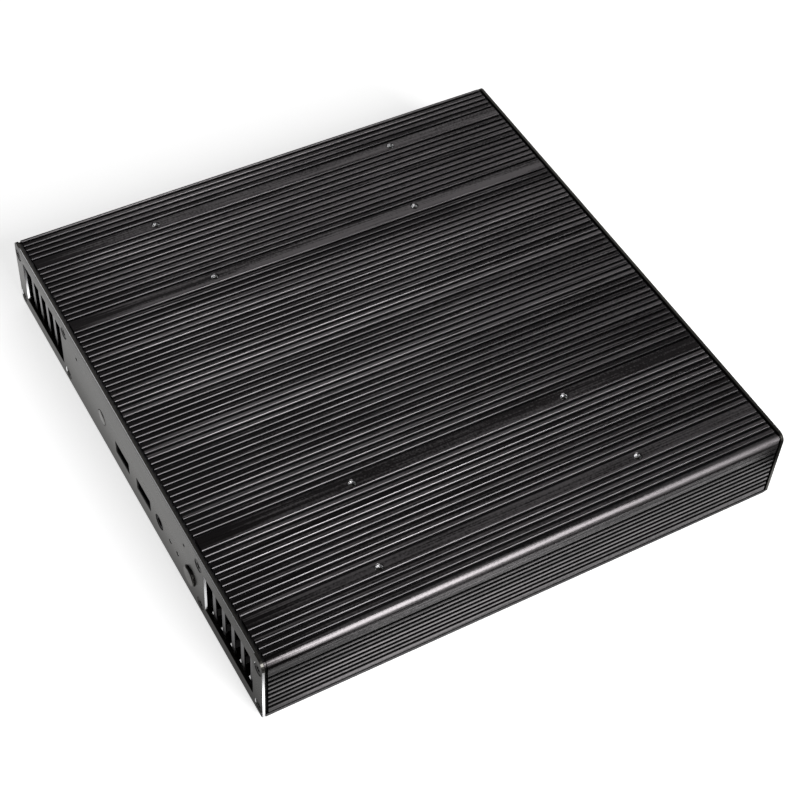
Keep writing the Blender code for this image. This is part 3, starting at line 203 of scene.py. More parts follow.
# %% How bright the sheet is in a mirror
# The mirror glow of the sheet: where it ends, its painted shade near the case and at the near end,
# and its painted brighter strips.
PAPER_END = (15.0 * MM, 18.5 * MM)
PAPER_END_GLOW = 0.03
PAPER_SLANT = 1.6 * MM
SLANT_FROM_TO = (-110.0 * MM, 20.0 * MM)
CONTACT_REACH = 9.5 * MM
CONTACT_GLOW = 0.42
UNDER_EDGE = (4.2 * MM, 5.5 * MM)
NEAR_CORNER = (30.0 * MM, 75.0 * MM)
NEAR_CORNER_SHADE = 0.45
FRONT_GAIN = 1.35
GAIN_FROM_TO = (-60.0 * MM, 90.0 * MM)
SIDE_GAIN = 1.3
MIRROR_WHITE = 1.4


def mirrored_strength(tree):
    """The glow of the sheet for rays that come from a mirror, with its painted shade and painted
    light, and the mask of open floor.
    """
    outside, under, x, y, ahead = outline_distances(tree)
    open_floor = map_range(tree, under, UNDER_EDGE, (1.0, 0.0))
    # Painted shade near the case and at the near end of the front; painted light towards the front
    # and beside the right side.
    contact_shade = map_range(tree, outside, (0.0, CONTACT_REACH), (CONTACT_GLOW, 1.0))
    slant = map_range(tree, y, SLANT_FROM_TO, (PAPER_SLANT, 0.0))
    reach = calculate(tree, "ADD", outside, slant)
    paper_end = map_range(tree, reach, PAPER_END, (1.0, PAPER_END_GLOW))
    to_front = map_range(tree, y, GAIN_FROM_TO, (FRONT_GAIN, 1.0))
    near_end = product(tree, map_range(tree, x, NEAR_CORNER, (0.0, NEAR_CORNER_SHADE)), ahead)
    contact_shade = product(tree, contact_shade, calculate(tree, "SUBTRACT", 1.0, near_end))
    beside = calculate(tree, "GREATER_THAN", x, CASE_HALF_WIDTH)
    more = MIRROR_WHITE * (SIDE_GAIN - 1)
    gain = calculate(tree, "MULTIPLY_ADD", beside, more, MIRROR_WHITE)
    return product(tree, contact_shade, paper_end, to_front, gain), open_floor


print("in a mirror the sheet ends at mm:", [round(1000 * edge, 1) for edge in PAPER_END])

# %% Floor
FLOOR_HALF_SIZE = 6
PAPER_WHITE = 0.82
CAMERA_WHITE = 0.72


def join_shaders(tree, factor, first, second):
    """The first shader where the factor is 0, the second where it is 1."""
    mix = tree.nodes.new("ShaderNodeMixShader")
    tree.links.new(factor, mix.inputs["Fac"])
    tree.links.new(first, mix.inputs[1])
    tree.links.new(second, mix.inputs[2])
    return mix.outputs[0]


def make_paper():
    """White paper: its shadow for the camera, its glow for the metal, clear from below."""
    paper = bpy.data.materials.new("floor_paper")
    paper.use_nodes = True
    tree = paper.node_tree
    tree.nodes.clear()
    lit = add_node(tree, "ShaderNodeBsdfDiffuse", Color=(PAPER_WHITE, PAPER_WHITE, PAPER_WHITE, 1))
    glow = add_node(tree, "ShaderNodeEmission", Color=(1, 1, 1, 1))
    path = tree.nodes.new("ShaderNodeLightPath")
    from_mirror, open_floor = mirrored_strength(tree)
    mirrored = product(tree, from_mirror, path.outputs["Is Glossy Ray"])
    seen = calculate(tree, "MULTIPLY", path.outputs["Is Camera Ray"], CAMERA_WHITE)
    strength = product(tree, calculate(tree, "ADD", seen, mirrored), open_floor)
    tree.links.new(strength, glow.inputs["Strength"])
    both = tree.nodes.new("ShaderNodeAddShader")
    tree.links.new(lit.outputs[0], both.inputs[0])
    tree.links.new(glow.outputs[0], both.inputs[1])
    above = join_shaders(tree, path.outputs["Is Glossy Ray"], both.outputs[0], glow.outputs[0])
    side = tree.nodes.new("ShaderNodeNewGeometry")
    clear = tree.nodes.new("ShaderNodeBsdfTransparent")
    surface = join_shaders(tree, side.outputs["Backfacing"], above, clear.outputs[0])
    out = tree.nodes.new("ShaderNodeOutputMaterial")
    tree.links.new(surface, out.inputs["Surface"])
    return paper


floor_mesh = bpy.data.meshes.new("floor")
build = bmesh.new()
bmesh.ops.create_grid(build, x_segments=1, y_segments=1, size=FLOOR_HALF_SIZE)
build.to_mesh(floor_mesh)
build.free()
floor = bpy.data.objects.new("floor", floor_mesh)
bpy.context.scene.collection.objects.link(floor)
floor_mesh.materials.append(make_paper())
print("floor:", floor_mesh.name, "half a side in m:", FLOOR_HALF_SIZE)

# %% [markdown]
# ## Shared effects
# Several finishes use the same three effects: long fine streaks from drawing or brushing,
# a fine grain from blasting or moulding, and edges that are rubbed a little brighter; on the
# screws and the round lens the edges are painted dark as shade instead. Each
# effect is one node group with its own inputs, so every finish can set its own amounts.


# %% Node groups
def new_group(name, inputs, outputs):
    """A shader group with (name, socket type, default) inputs and (name, socket type) outputs."""
    group = bpy.data.node_groups.new(name, "ShaderNodeTree")
    for label, kind, default in inputs:
        socket = group.interface.new_socket(label, in_out="INPUT", socket_type=kind)
        if default is not None:
            socket.default_value = default
    for label, kind in outputs:
        group.interface.new_socket(label, in_out="OUTPUT", socket_type=kind)
    return group, group.nodes.new("NodeGroupInput"), group.nodes.new("NodeGroupOutput")


def make_streaks():
    """Noise stretched by a scale per axis, in two sizes; 0.5 is the middle tone."""
    group, given, result = new_group(
        "streaks",
        [("Scale", "NodeSocketVector", (900, 12, 900)), ("Contrast", "NodeSocketFloat", 1.0)],
        [("Tone", "NodeSocketFloat")],
    )
    place = group.nodes.new("ShaderNodeTexCoord")
    stretch = group.nodes.new("ShaderNodeVectorMath")
    stretch.operation = "MULTIPLY"
    group.links.new(place.outputs["Object"], stretch.inputs[0])
    group.links.new(given.outputs["Scale"], stretch.inputs[1])
    fine = add_node(group, "ShaderNodeTexNoise", Scale=1.0, Detail=3.0, Roughness=0.65)
    broad = add_node(group, "ShaderNodeTexNoise", Scale=0.13, Detail=2.0, Roughness=0.5)
    for noise in (fine, broad):
        group.links.new(stretch.outputs[0], noise.inputs["Vector"])
    mean = calculate(group, "ADD", fine.outputs["Fac"], broad.outputs["Fac"])
    centred = calculate(group, "MULTIPLY_ADD", mean, 0.5, -0.5)
    scaled = calculate(group, "MULTIPLY_ADD", centred, given.outputs["Contrast"], 0.5)
    group.links.new(scaled, result.inputs["Tone"])
    return group


def make_grain():
    """Even fine grain, with a slow cloudiness for surfaces that are never quite uniform."""
    group, given, result = new_group(
        "grain",
        [("Size mm", "NodeSocketFloat", 0.25), ("Cloud mm", "NodeSocketFloat", 40.0)],
        [("Grain", "NodeSocketFloat"), ("Cloud", "NodeSocketFloat")],
    )
    place = group.nodes.new("ShaderNodeTexCoord")
    for size, label, detail in (("Size mm", "Grain", 2.0), ("Cloud mm", "Cloud", 3.0)):
        scale = calculate(group, "DIVIDE", 1000.0, given.outputs[size])
        noise = add_node(group, "ShaderNodeTexNoise", Detail=detail, Roughness=0.55)
        group.links.new(place.outputs["Object"], noise.inputs["Vector"])
        group.links.new(scale, noise.inputs["Scale"])
        group.links.new(noise.outputs["Fac"], result.inputs[label])
    return group


EDGE_TURN = (0.02, 0.22)
EDGE_NOISE_SCALE = 420.0
EDGE_NOISE_DEPTH = 0.2
BEVEL_SAMPLES = 6


def make_edges():
    """How close a point is to a sharp edge, and the normal of that edge if it were rounded."""
    group, given, result = new_group(
        "edges",
        [("Radius mm", "NodeSocketFloat", 0.2), ("Break up", "NodeSocketFloat", 0.5)],
        [("Mask", "NodeSocketFloat"), ("Normal", "NodeSocketVector")],
    )
    radius = calculate(group, "MULTIPLY", given.outputs["Radius mm"], MM)
    rounded = group.nodes.new("ShaderNodeBevel")
    rounded.samples = BEVEL_SAMPLES
    group.links.new(radius, rounded.inputs["Radius"])
    shape = group.nodes.new("ShaderNodeNewGeometry")
    same = group.nodes.new("ShaderNodeVectorMath")
    same.operation = "DOT_PRODUCT"
    group.links.new(rounded.outputs["Normal"], same.inputs[0])
    group.links.new(shape.outputs["Normal"], same.inputs[1])
    away = calculate(group, "SUBTRACT", 1.0, same.outputs["Value"])
    place = group.nodes.new("ShaderNodeTexCoord")
    noise = add_node(group, "ShaderNodeTexNoise", Scale=EDGE_NOISE_SCALE, Detail=3.0)
    group.links.new(place.outputs["Object"], noise.inputs["Vector"])
    uneven = calculate(group, "MULTIPLY", noise.outputs["Fac"], given.outputs["Break up"])
    broken = calculate(group, "MULTIPLY", uneven, EDGE_NOISE_DEPTH)
    rest = calculate(group, "SUBTRACT", away, broken)
    group.links.new(map_range(group, rest, EDGE_TURN, (0.0, 1.0)), result.inputs["Mask"])
    group.links.new(rounded.outputs["Normal"], result.inputs["Normal"])
    return group


STREAKS = make_streaks()
GRAIN = make_grain()
EDGES = make_edges()
print("groups:", [group.name for group in bpy.data.node_groups])


# %% [markdown]
# ## How a finish is put together
# Every finish here starts from the same short recipe: a dark or bright colour that drifts
# a little, a roughness that follows the streaks and the grain, edges that are worn, or on the
# screws and the round lens painted dark as shade, and a bump.
# Writing the recipe once as a function keeps the finishes comparable, and the numbers in
# each call say what makes one finish different from the next.


# %% Finish recipe
NOISE_RANGE = (0.25, 0.75)


def use_group(tree, group, **inputs):
    """A shared effect in a material, with its own values."""
    node = tree.nodes.new("ShaderNodeGroup")
    node.node_tree = group
    for name, value in inputs.items():
        node.inputs[name.replace("_", " ")].default_value = value
    return node


def ramp_value(tree, value, low, high):
    """Takes the range where noise mostly lies to a range of numbers."""
    return map_range(tree, value, NOISE_RANGE, (low, high), smooth=False)


def mix_colours(tree, factor, low, high):
    """A colour between two others; each is a socket or three numbers."""
    mix = tree.nodes.new("ShaderNodeMix")
    mix.data_type = "RGBA"
    tree.links.new(factor, mix.inputs["Factor"])
    for label, colour in (("A", low), ("B", high)):
        socket = [item for item in mix.inputs if item.name == label and item.type == "RGBA"][0]
        if isinstance(colour, tuple):
            socket.default_value = (*colour, 1)
        else:
            tree.links.new(colour, socket)
    return [item for item in mix.outputs if item.type == "RGBA"][0]


def make_finish(
    name,
    dark,
    light,
    metallic,
    roughness,
    streak_scale=(900, 12, 900),
    streak_contrast=1.0,
    grain_mm=0.25,
    cloud_mm=40.0,
    edge_mm=0.15,
    edge_colour=None,
    edge_break=0.5,
    bump_mm=0.01,
    streak_share=0.6,
    ior=1.5,
    grazing=1.0,
):
    """A metal, paint or plastic with streaks, grain, slow drift, and edges that are rubbed or
    painted dark as shade.
    """
    material = bpy.data.materials.new(name)
    material.use_nodes = True
    tree = material.node_tree
    shader = tree.nodes["Principled BSDF"]
    shader.inputs["Metallic"].default_value = metallic
    shader.inputs["IOR"].default_value = ior
    shader.inputs["Specular Tint"].default_value = (grazing, grazing, grazing, 1)
    streaks = use_group(tree, STREAKS, Scale=streak_scale, Contrast=streak_contrast)
    grain = use_group(tree, GRAIN, Size_mm=grain_mm, Cloud_mm=cloud_mm)
    edges = use_group(tree, EDGES, Radius_mm=edge_mm, Break_up=edge_break)
    part_streak = calculate(tree, "MULTIPLY", streaks.outputs["Tone"], streak_share)
    grain_share = 1 - streak_share
    texture = calculate(tree, "MULTIPLY_ADD", grain.outputs["Grain"], grain_share, part_streak)
    half = calculate(tree, "MULTIPLY", grain.outputs["Cloud"], 0.5)
    tone = calculate(tree, "MULTIPLY_ADD", texture, 0.5, half)
    colour = mix_colours(tree, ramp_value(tree, tone, 0.0, 1.0), dark, light)
    if edge_colour:
        colour = mix_colours(tree, edges.outputs["Mask"], colour, edge_colour)
    tree.links.new(colour, shader.inputs["Base Color"])
    tree.links.new(ramp_value(tree, texture, *roughness), shader.inputs["Roughness"])
    bump = add_node(tree, "ShaderNodeBump", Strength=1.0, Distance=bump_mm * MM)
    tree.links.new(texture, bump.inputs["Height"])
    tree.links.new(edges.outputs["Normal"], bump.inputs["Normal"])
    tree.links.new(bump.outputs["Normal"], shader.inputs["Normal"])
    return material


def dress(material, *names):
    """Gives CAD nodes a finish in place of the plain one they were packed with."""
    for name in names:
        for slot in nodes[name].material_slots:
            slot.material = material
    print(f"{material.name}: {len(names)} node(s)")


def numbered(prefix, count):
    """Names that end in _1, _2 and so on."""
    return [f"{prefix}_{number}" for number in range(1, count + 1)]


# %% [markdown]
# ## Extruded shell
# The shell is drawn through a die, blasted and dyed black while it is anodised. The die and
# the brush leave lines from front to rear, some as wide as a rib and some as fine as hair,
# so neighbouring ribs mirror the lamps a little differently. That unevenness is what makes
# the surface look like drawn metal and not like plastic. The dye hides the metal, but the
# layer still mirrors as dark metal does, so it is a metal shader with a very dark colour.
# The finish could be one noise all over. It is built from the section instead, because the
# floors of the grooves, where blasting reaches least, are rougher than the lands and have a
# colour of their own, and the side grooves carry painted shade, nearly black.

# %% Places on the section
TOP_Z = 38.0 * MM
SHOULDER_WIDTH = 2.6 * MM
SHOULDER_HEIGHT = 4.6 * MM
ROOF_SKIN = (0.03 * MM, 0.13 * MM)
SIDE_SKIN = (0.02 * MM, 0.15 * MM)
SIDE_GROOVE_LOW = 8.3 * MM
SIDE_GROOVE_PITCH = 2.8714 * MM
SIDE_GROOVE_HALF = (0.28, 0.34)
SIDE_GROOVES_TOP = 29.6 * MM
SEAM_TOP = 5.0 * MM
SCRIBED_AT = 6.5 * MM
SCRIBED_HALF = 0.2 * MM


def shell_places(tree):
    """X, Y and Z of a point, and its distances from the top and from the side of the shell."""
    x, y, z = coordinates(tree)
    across = calculate(tree, "ABSOLUTE", x)
    from_top = calculate(tree, "SUBTRACT", TOP_Z, z)
    from_side = calculate(tree, "SUBTRACT", CASE_HALF_WIDTH, across)
    return x, y, z, from_top, from_side


def side_land_mask(tree, height, from_side):
    """1 on the lands of the side walls and 0 in the grooves, on their lips and in the seam."""
    above_first = calculate(tree, "SUBTRACT", height, SIDE_GROOVE_LOW)
    count = calculate(tree, "DIVIDE", above_first, SIDE_GROOVE_PITCH)
    from_groove = calculate(tree, "PINGPONG", count, 0.5)
    land = map_range(tree, from_groove, SIDE_GROOVE_HALF, (0.0, 1.0))
    above = calculate(tree, "GREATER_THAN", height, SIDE_GROOVES_TOP)
    below = calculate(tree, "LESS_THAN", height, SIDE_GROOVE_LOW - SIDE_GROOVE_PITCH / 2)
    plain = calculate(tree, "MAXIMUM", above, below)
    seam = calculate(tree, "LESS_THAN", height, SEAM_TOP)
    line_at = calculate(tree, "ABSOLUTE", calculate(tree, "SUBTRACT", height, SCRIBED_AT))
    scribed = calculate(tree, "LESS_THAN", line_at, SCRIBED_HALF)
    marked = calculate(tree, "MAXIMUM", seam, scribed)
    plain = product(tree, plain, calculate(tree, "SUBTRACT", 1.0, marked))
    shallow = map_range(tree, from_side, SIDE_SKIN, (1.0, 0.0))
    return product(tree, shallow, calculate(tree, "MAXIMUM", land, plain))


groove_rows = (SIDE_GROOVES_TOP - SIDE_GROOVE_LOW) / SIDE_GROOVE_PITCH
print("rows of grooves on a side:", math.ceil(groove_rows))

# %% [markdown]
# ## Lips, holes and shoulder
# The lips of the ribs are 0.25 mm wide and mirror the lamp, so their tone decides how
# bright each line is. The tapped holes are cut after dyeing and show bare thread. The
# shoulder is a curve of a few flat faces in the model. More faces would smooth it, but a
# shading normal that turns evenly does the same and keeps the mesh light.

# %% Lips and tapped holes
LIP_SLOPE = (0.30, 0.45)
HOLE_ROWS = (61.0 * MM, 99.9 * MM)
HOLE_REACH = 1.9 * MM
HOLE_SINK = 0.34 * MM
HOLE_DEPTH = 2.6 * MM
HOLES_WITHIN = 105.0 * MM


def lip_mask(tree):
    """1 on the small sloping lips of the ribs, 0 on flat land and on walls."""
    x, _, z = coordinates(tree, "Normal")
    slope = calculate(tree, "ABSOLUTE", product(tree, x, z))
    return map_range(tree, slope, LIP_SLOPE, (0.0, 1.0))


def hole_mask(tree, y, from_top, from_side):
    """1 on the bare threads of the tapped holes in the roof."""
    near = 0.0
    for row in HOLE_ROWS:
        from_row = calculate(tree, "SUBTRACT", from_side, CASE_HALF_WIDTH - row)
        on_row = calculate(tree, "LESS_THAN", calculate(tree, "ABSOLUTE", from_row), HOLE_REACH)
        near = calculate(tree, "MAXIMUM", on_row, near)
    sunk = calculate(tree, "GREATER_THAN", from_top, HOLE_SINK)
    above = calculate(tree, "LESS_THAN", from_top, HOLE_DEPTH)
    inner = calculate(tree, "LESS_THAN", calculate(tree, "ABSOLUTE", y), HOLES_WITHIN)
    return product(tree, near, product(tree, sunk, above), inner)


print("rows of tapped holes at mm:", [round(1000 * row, 1) for row in HOLE_ROWS])

# %% Shoulder
SHOULDER_START = 0.0 * MM
SHOULDER_LENGTH = 10.0 * MM
SHOULDER_SLANT = 1.79


def to_world(tree, direction):
    """A direction in the piece's own frame, as a socket or three numbers, in the world's."""
    world = tree.nodes.new("ShaderNodeVectorTransform")
    world.vector_type = "NORMAL"
    world.convert_from, world.convert_to = "OBJECT", "WORLD"
    if isinstance(direction, tuple):
        world.inputs["Vector"].default_value = direction
    else:
        tree.links.new(direction, world.inputs["Vector"])
    return world.outputs[0]


def mix_normals(tree, factor, first, second):
    """The first normal where the factor is 0, the second where it is 1."""
    mix = tree.nodes.new("ShaderNodeMix")
    mix.data_type = "VECTOR"
    tree.links.new(factor, mix.inputs["Factor"])
    sockets = [item for item in mix.inputs if item.type == "VECTOR" and item.name in "AB"]
    tree.links.new(first, sockets[0])
    tree.links.new(second, sockets[1])
    return [item for item in mix.outputs if item.type == "VECTOR"][0]


def shoulder_normal(tree, x, height, from_side, normal, mask):
    """On the shoulder, a normal that turns evenly from the side to the roof."""
    rise = calculate(tree, "SUBTRACT", height, TOP_Z - SHOULDER_HEIGHT)
    along = calculate(tree, "MULTIPLY_ADD", from_side, SHOULDER_SLANT, rise)
    span = (SHOULDER_START, SHOULDER_START + SHOULDER_LENGTH)
    turned = map_range(tree, along, span, (0.0, math.pi / 2), smooth=False)
    outward = product(tree, calculate(tree, "COSINE", turned), calculate(tree, "SIGN", x))
    join = tree.nodes.new("ShaderNodeCombineXYZ")
    tree.links.new(outward, join.inputs["X"])
    tree.links.new(calculate(tree, "SINE", turned), join.inputs["Z"])
    return mix_normals(tree, mask, normal, to_world(tree, join.outputs[0]))


print("shoulder in mm:", round(1000 * SHOULDER_WIDTH, 1), "x", round(1000 * SHOULDER_HEIGHT, 1))

# %% [markdown]
# ## Tone of the lands
# Four things make the tone of a land: the wide and the fine lines of the die, slow clouds
# from the dye bath, and the grain of the blasting. On top come a few rubbed places where the
# hair lines show more, a sign of handling; painted shade on the first centimetres behind the
# front, where every rib starts darker, each at its own place; and a painted highlight that
# lifts the shoulder.

# %% Streaks of the shell
RIB_STREAKS = dict(Scale=(330, 6, 330), Contrast=3.4)
HAIR_STREAKS = dict(Scale=(1350, 15, 1350), Contrast=6.0)
LIP_STREAKS = dict(Scale=(345, 10, 345), Contrast=6.0)
SHELL_GRAIN = dict(Size_mm=0.9, Cloud_mm=60.0)
RUBBED = (
    (12.0 * MM, 6.0 * MM, 1.8),
    (-11.0 * MM, 4.0 * MM, 1.4),
    (-58.0 * MM, 9.0 * MM, 0.6),
    (46.0 * MM, 6.0 * MM, 0.5),
)
# Painted shade behind the front: where it ends, how uneven it is, and how dark it gets.
UNEVEN_START = 22.0 * MM
FADE_FROM_TO = (-98.0 * MM, -52.0 * MM)
FADE_LOW = 0.12


def weighted(tree, *pairs):
    """The sum of sockets, each times its weight."""
    total = 0.0
    for socket, weight in pairs:
        total = calculate(tree, "MULTIPLY_ADD", socket, weight, total)
    return total


def rubbed_mask(tree, x):
    """How much of the hair lines shows in the places where the roof was rubbed."""
    total = 0.0
    for centre, half_width, amount in RUBBED:
        off = calculate(tree, "ABSOLUTE", calculate(tree, "SUBTRACT", x, centre))
        here = map_range(tree, off, (0.0, half_width), (amount, 0.0))
        total = calculate(tree, "MAXIMUM", here, total)
    return total


def painted_front_shade(tree, y, ribs, lines):
    """Painted shade: the first centimetres of each rib are darker, and each rib begins somewhere
    else.
    """
    uneven = calculate(tree, "MULTIPLY", calculate(tree, "ADD", ribs, lines), UNEVEN_START)
    along = calculate(tree, "ADD", y, uneven)
    return map_range(tree, along, FADE_FROM_TO, (FADE_LOW, 1.0))


print("rubbed places:", len(RUBBED))

# %% Places, masks and streaks that colour, roughness and bump share
WALL_REACH = 1.2 * MM


def shell_fields(tree):
    """Everything that changes over the shell, by name."""
    x, y, height, from_top, from_side = shell_places(tree)
    ribs = use_group(tree, STREAKS, **RIB_STREAKS).outputs["Tone"]
    lines = use_group(tree, STREAKS, **HAIR_STREAKS).outputs["Tone"]
    grain = use_group(tree, GRAIN, **SHELL_GRAIN)
    on_top = calculate(tree, "LESS_THAN", from_top, SHOULDER_HEIGHT)
    on_side = calculate(tree, "LESS_THAN", from_side, SHOULDER_WIDTH)
    shoulder = product(tree, on_top, on_side)
    roof = map_range(tree, from_top, ROOF_SKIN, (1.0, 0.0))
    land = calculate(tree, "MAXIMUM", roof, side_land_mask(tree, height, from_side))
    return SimpleNamespace(
        x=x,
        height=height,
        from_side=from_side,
        ribs=ribs,
        lines=lines,
        cloud=grain.outputs["Cloud"],
        grain=grain.outputs["Grain"],
        shoulder=shoulder,
        skin=calculate(tree, "MAXIMUM", land, shoulder),
        near_side=calculate(tree, "LESS_THAN", from_side, WALL_REACH),
        start=painted_front_shade(tree, y, ribs, lines),
        bare=hole_mask(tree, y, from_top, from_side),
    )


print("a wall reaches in by mm:", round(1000 * WALL_REACH, 1))

# %% Colour of the shell
BLACK_GROOVE = (0.048, 0.046, 0.048)
# Painted shade: the side grooves and their lips are nearly black; the seam and the scribed line
# take the same black.
SIDE_SHADE_AND_SEAM_BLACK = (0.004, 0.004, 0.004)
LAND_COLOURS = ((0.017, 0.0150, 0.0158), (0.150, 0.140, 0.144))
LIP_COLOURS = ((0.004, 0.0038, 0.0039), (0.225, 0.215, 0.220))
BARE_METAL = (0.88, 0.88, 0.89)
RIB_SHARE, HAIR_SHARE, CLOUD_SHARE, GRAIN_SHARE = 0.32, 0.46, 0.10, 0.8
TONE_BALANCE = 0.36
RUBBED_BALANCE = 0.32
# Painted highlight: how much lighter the colour of the shoulder is made.
SHOULDER_PAINTED_HIGHLIGHT = 0.17


def land_tone(tree, at):
    """How light the lands are: dye, painted shade behind the front, painted highlight on the
    shoulder; 0.5 is the middle tone.
    """
    lines_and_ribs = ((at.ribs, RIB_SHARE), (at.lines, HAIR_SHARE))
    tone = weighted(tree, *lines_and_ribs, (at.cloud, CLOUD_SHARE), (at.grain, GRAIN_SHARE))
    tone = calculate(tree, "SUBTRACT", tone, TONE_BALANCE)
    over = calculate(tree, "SUBTRACT", at.lines, RUBBED_BALANCE)
    tone = calculate(tree, "MULTIPLY_ADD", rubbed_mask(tree, at.x), over, tone)
    # Painted shade behind the front, then the painted highlight on the shoulder.
    tone = product(tree, tone, at.start)
    return calculate(tree, "MULTIPLY_ADD", at.shoulder, SHOULDER_PAINTED_HIGHLIGHT, tone)


def shell_colour(tree, at):
    """Grooves, with painted shade that makes them nearly black on the sides, uneven lands, lips
    that carry the bright lines, and bare threads.
    """
    lands = mix_colours(tree, ramp_value(tree, land_tone(tree, at), 0.0, 1.0), *LAND_COLOURS)
    lip_lines = use_group(tree, STREAKS, **LIP_STREAKS).outputs["Tone"]
    # The lips carry the painted shade behind the front too.
    lips = mix_colours(tree, product(tree, lip_lines, at.start), *LIP_COLOURS)
    on_lip = product(tree, lip_mask(tree), calculate(tree, "SUBTRACT", 1.0, at.shoulder))
    # Painted shade in the side grooves, nearly black.
    grooves = mix_colours(tree, at.near_side, BLACK_GROOVE, SIDE_SHADE_AND_SEAM_BLACK)
    dyed = mix_colours(tree, at.skin, grooves, mix_colours(tree, on_lip, lands, lips))
    return mix_colours(tree, at.bare, dyed, BARE_METAL)


print("tone shares:", RIB_SHARE, HAIR_SHARE, CLOUD_SHARE, GRAIN_SHARE)

# %% [markdown]
# ## Roughness, relief and the finish itself
# The lines that colour a land also make it rougher or smoother, and they are raised a little
# as bump. The threads of the tapped holes are rings of bump too: cutting them as a mesh would
# cost thousands of faces for something that is two millimetres wide.

# %% Roughness and relief of the shell
SHELL_ROUGHNESS = (0.26, 0.40)
FINE_LINES, FINE_GRAIN = 0.6, 0.4
OUTER_SKIN = 0.2 * MM
OUTER_SMOOTHER = 0.08
GROOVE_ROUGHER = 0.5
THREAD_PITCH = 0.5 * MM
THREAD_SHARE = 4.0
DRAWN_LINES, DRAWN_RIBS = 0.35, 0.65
DRAWN_DEPTH = 0.03 * MM


def shell_roughness(tree, at):
    """Rougher where lines and grain are light and in the side grooves, smoother outside."""
    fine = weighted(tree, (at.lines, FINE_LINES), (at.grain, FINE_GRAIN))
    outermost = calculate(tree, "LESS_THAN", at.from_side, OUTER_SKIN)
    smoother = calculate(tree, "MULTIPLY", outermost, OUTER_SMOOTHER)
    rough = calculate(tree, "SUBTRACT", ramp_value(tree, fine, *SHELL_ROUGHNESS), smoother)
    in_groove = product(tree, calculate(tree, "SUBTRACT", 1.0, at.skin), at.near_side)
    return calculate(tree, "MULTIPLY_ADD", in_groove, GROOVE_ROUGHER, rough)


def shell_relief(tree, at):
    """Drawn lines all over and threads in the tapped holes, over the evenly turned shoulder."""
    turns = calculate(tree, "MULTIPLY", at.height, 2 * math.pi / THREAD_PITCH)
    rings = calculate(tree, "SINE", turns)
    thread = product(tree, rings, calculate(tree, "MULTIPLY", at.bare, THREAD_SHARE))
    drawn = weighted(tree, (at.lines, DRAWN_LINES), (at.ribs, DRAWN_RIBS))
    edges = use_group(tree, EDGES, Radius_mm=0.03, Break_up=0.8)
    bump = add_node(tree, "ShaderNodeBump", Strength=1.0, Distance=DRAWN_DEPTH)
    tree.links.new(calculate(tree, "ADD", drawn, thread), bump.inputs["Height"])
    normal = edges.outputs["Normal"]
    turned = shoulder_normal(tree, at.x, at.height, at.from_side, normal, at.shoulder)
    tree.links.new(turned, bump.inputs["Normal"])
    return bump.outputs["Normal"]


print("thread pitch in mm:", round(1000 * THREAD_PITCH, 2))

# %% Shell finish
shell_finish = bpy.data.materials.new("shell_anodised")
shell_finish.use_nodes = True
tree = shell_finish.node_tree
shader = tree.nodes["Principled BSDF"]
shader.inputs["Metallic"].default_value = 0.92
shader.inputs["IOR"].default_value = 1.6
fields = shell_fields(tree)
tree.links.new(shell_colour(tree, fields), shader.inputs["Base Color"])
tree.links.new(shell_roughness(tree, fields), shader.inputs["Roughness"])
tree.links.new(shell_relief(tree, fields), shader.inputs["Normal"])
dress(shell_finish, "extruded_shell")

# %% [markdown]
# ## Base plate
# The base is a sheet that is cut, blasted and dyed like the shell, but its rolling lines run
# across. It lies in the shadow under the shell, so its colour is painted a little darker as
# shade, and the common recipe is enough for it.

# %% Base plate finish
base_finish = make_finish(
    "base_anodised",
    # Painted shade: both colours are kept low for the shadow under the shell.
    dark=(0.022, 0.021, 0.022),
    light=(0.050, 0.048, 0.049),
    metallic=0.92,
    roughness=(0.28, 0.40),
    streak_scale=(9, 1100, 1100),
    grain_mm=0.3,
    edge_mm=0.2,
    edge_colour=(0.12, 0.12, 0.12),
    bump_mm=0.010,
    ior=1.6,
)
dress(base_finish, "base_plate")

# %% [markdown]
# ## End panels, grilles and screws
# The end panels are thin plates, brushed along their length and dyed black. The front one
# is cut again after dyeing with a bright tool, which leaves a small sloping face of bare
# metal at both ends of the plate and of its windows. The slope isn't in the mesh: on the
# faces that look left or right, close to the front, the shading normal leans to the front.
# The screws are steel with a black oxide. The grilles behind the windows are coated with a
# fine black powder that keeps a metallic sheen.

# %% Look of the panels
CUT_NORMAL = (0, -1, 0)
PANEL_LOOK = dict(
    dark=(0.041, 0.039, 0.036),
    light=(0.098, 0.094, 0.087),
    metallic=0.9,
    roughness=(0.24, 0.34),
    streak_scale=(30, 700, 900),
    streak_contrast=0.9,
    grain_mm=0.22,
    cloud_mm=70.0,
    edge_mm=0.2,
    bump_mm=0.008,
    ior=1.6,
    grazing=0.56,
)
print("panel settings:", len(PANEL_LOOK))

# %% Bright cut of the front panel
FRONT_Y = -114.5 * MM
CUT_WIDTH = 1.0 * MM
RIM_WIDTH = 0.35 * MM
CUT_FROM = 66.0 * MM
CUT_TOP = 33.4 * MM
CUT_CORNER = 112.0 * MM
FACES_ASIDE = 0.6
FACES_UP = 0.6


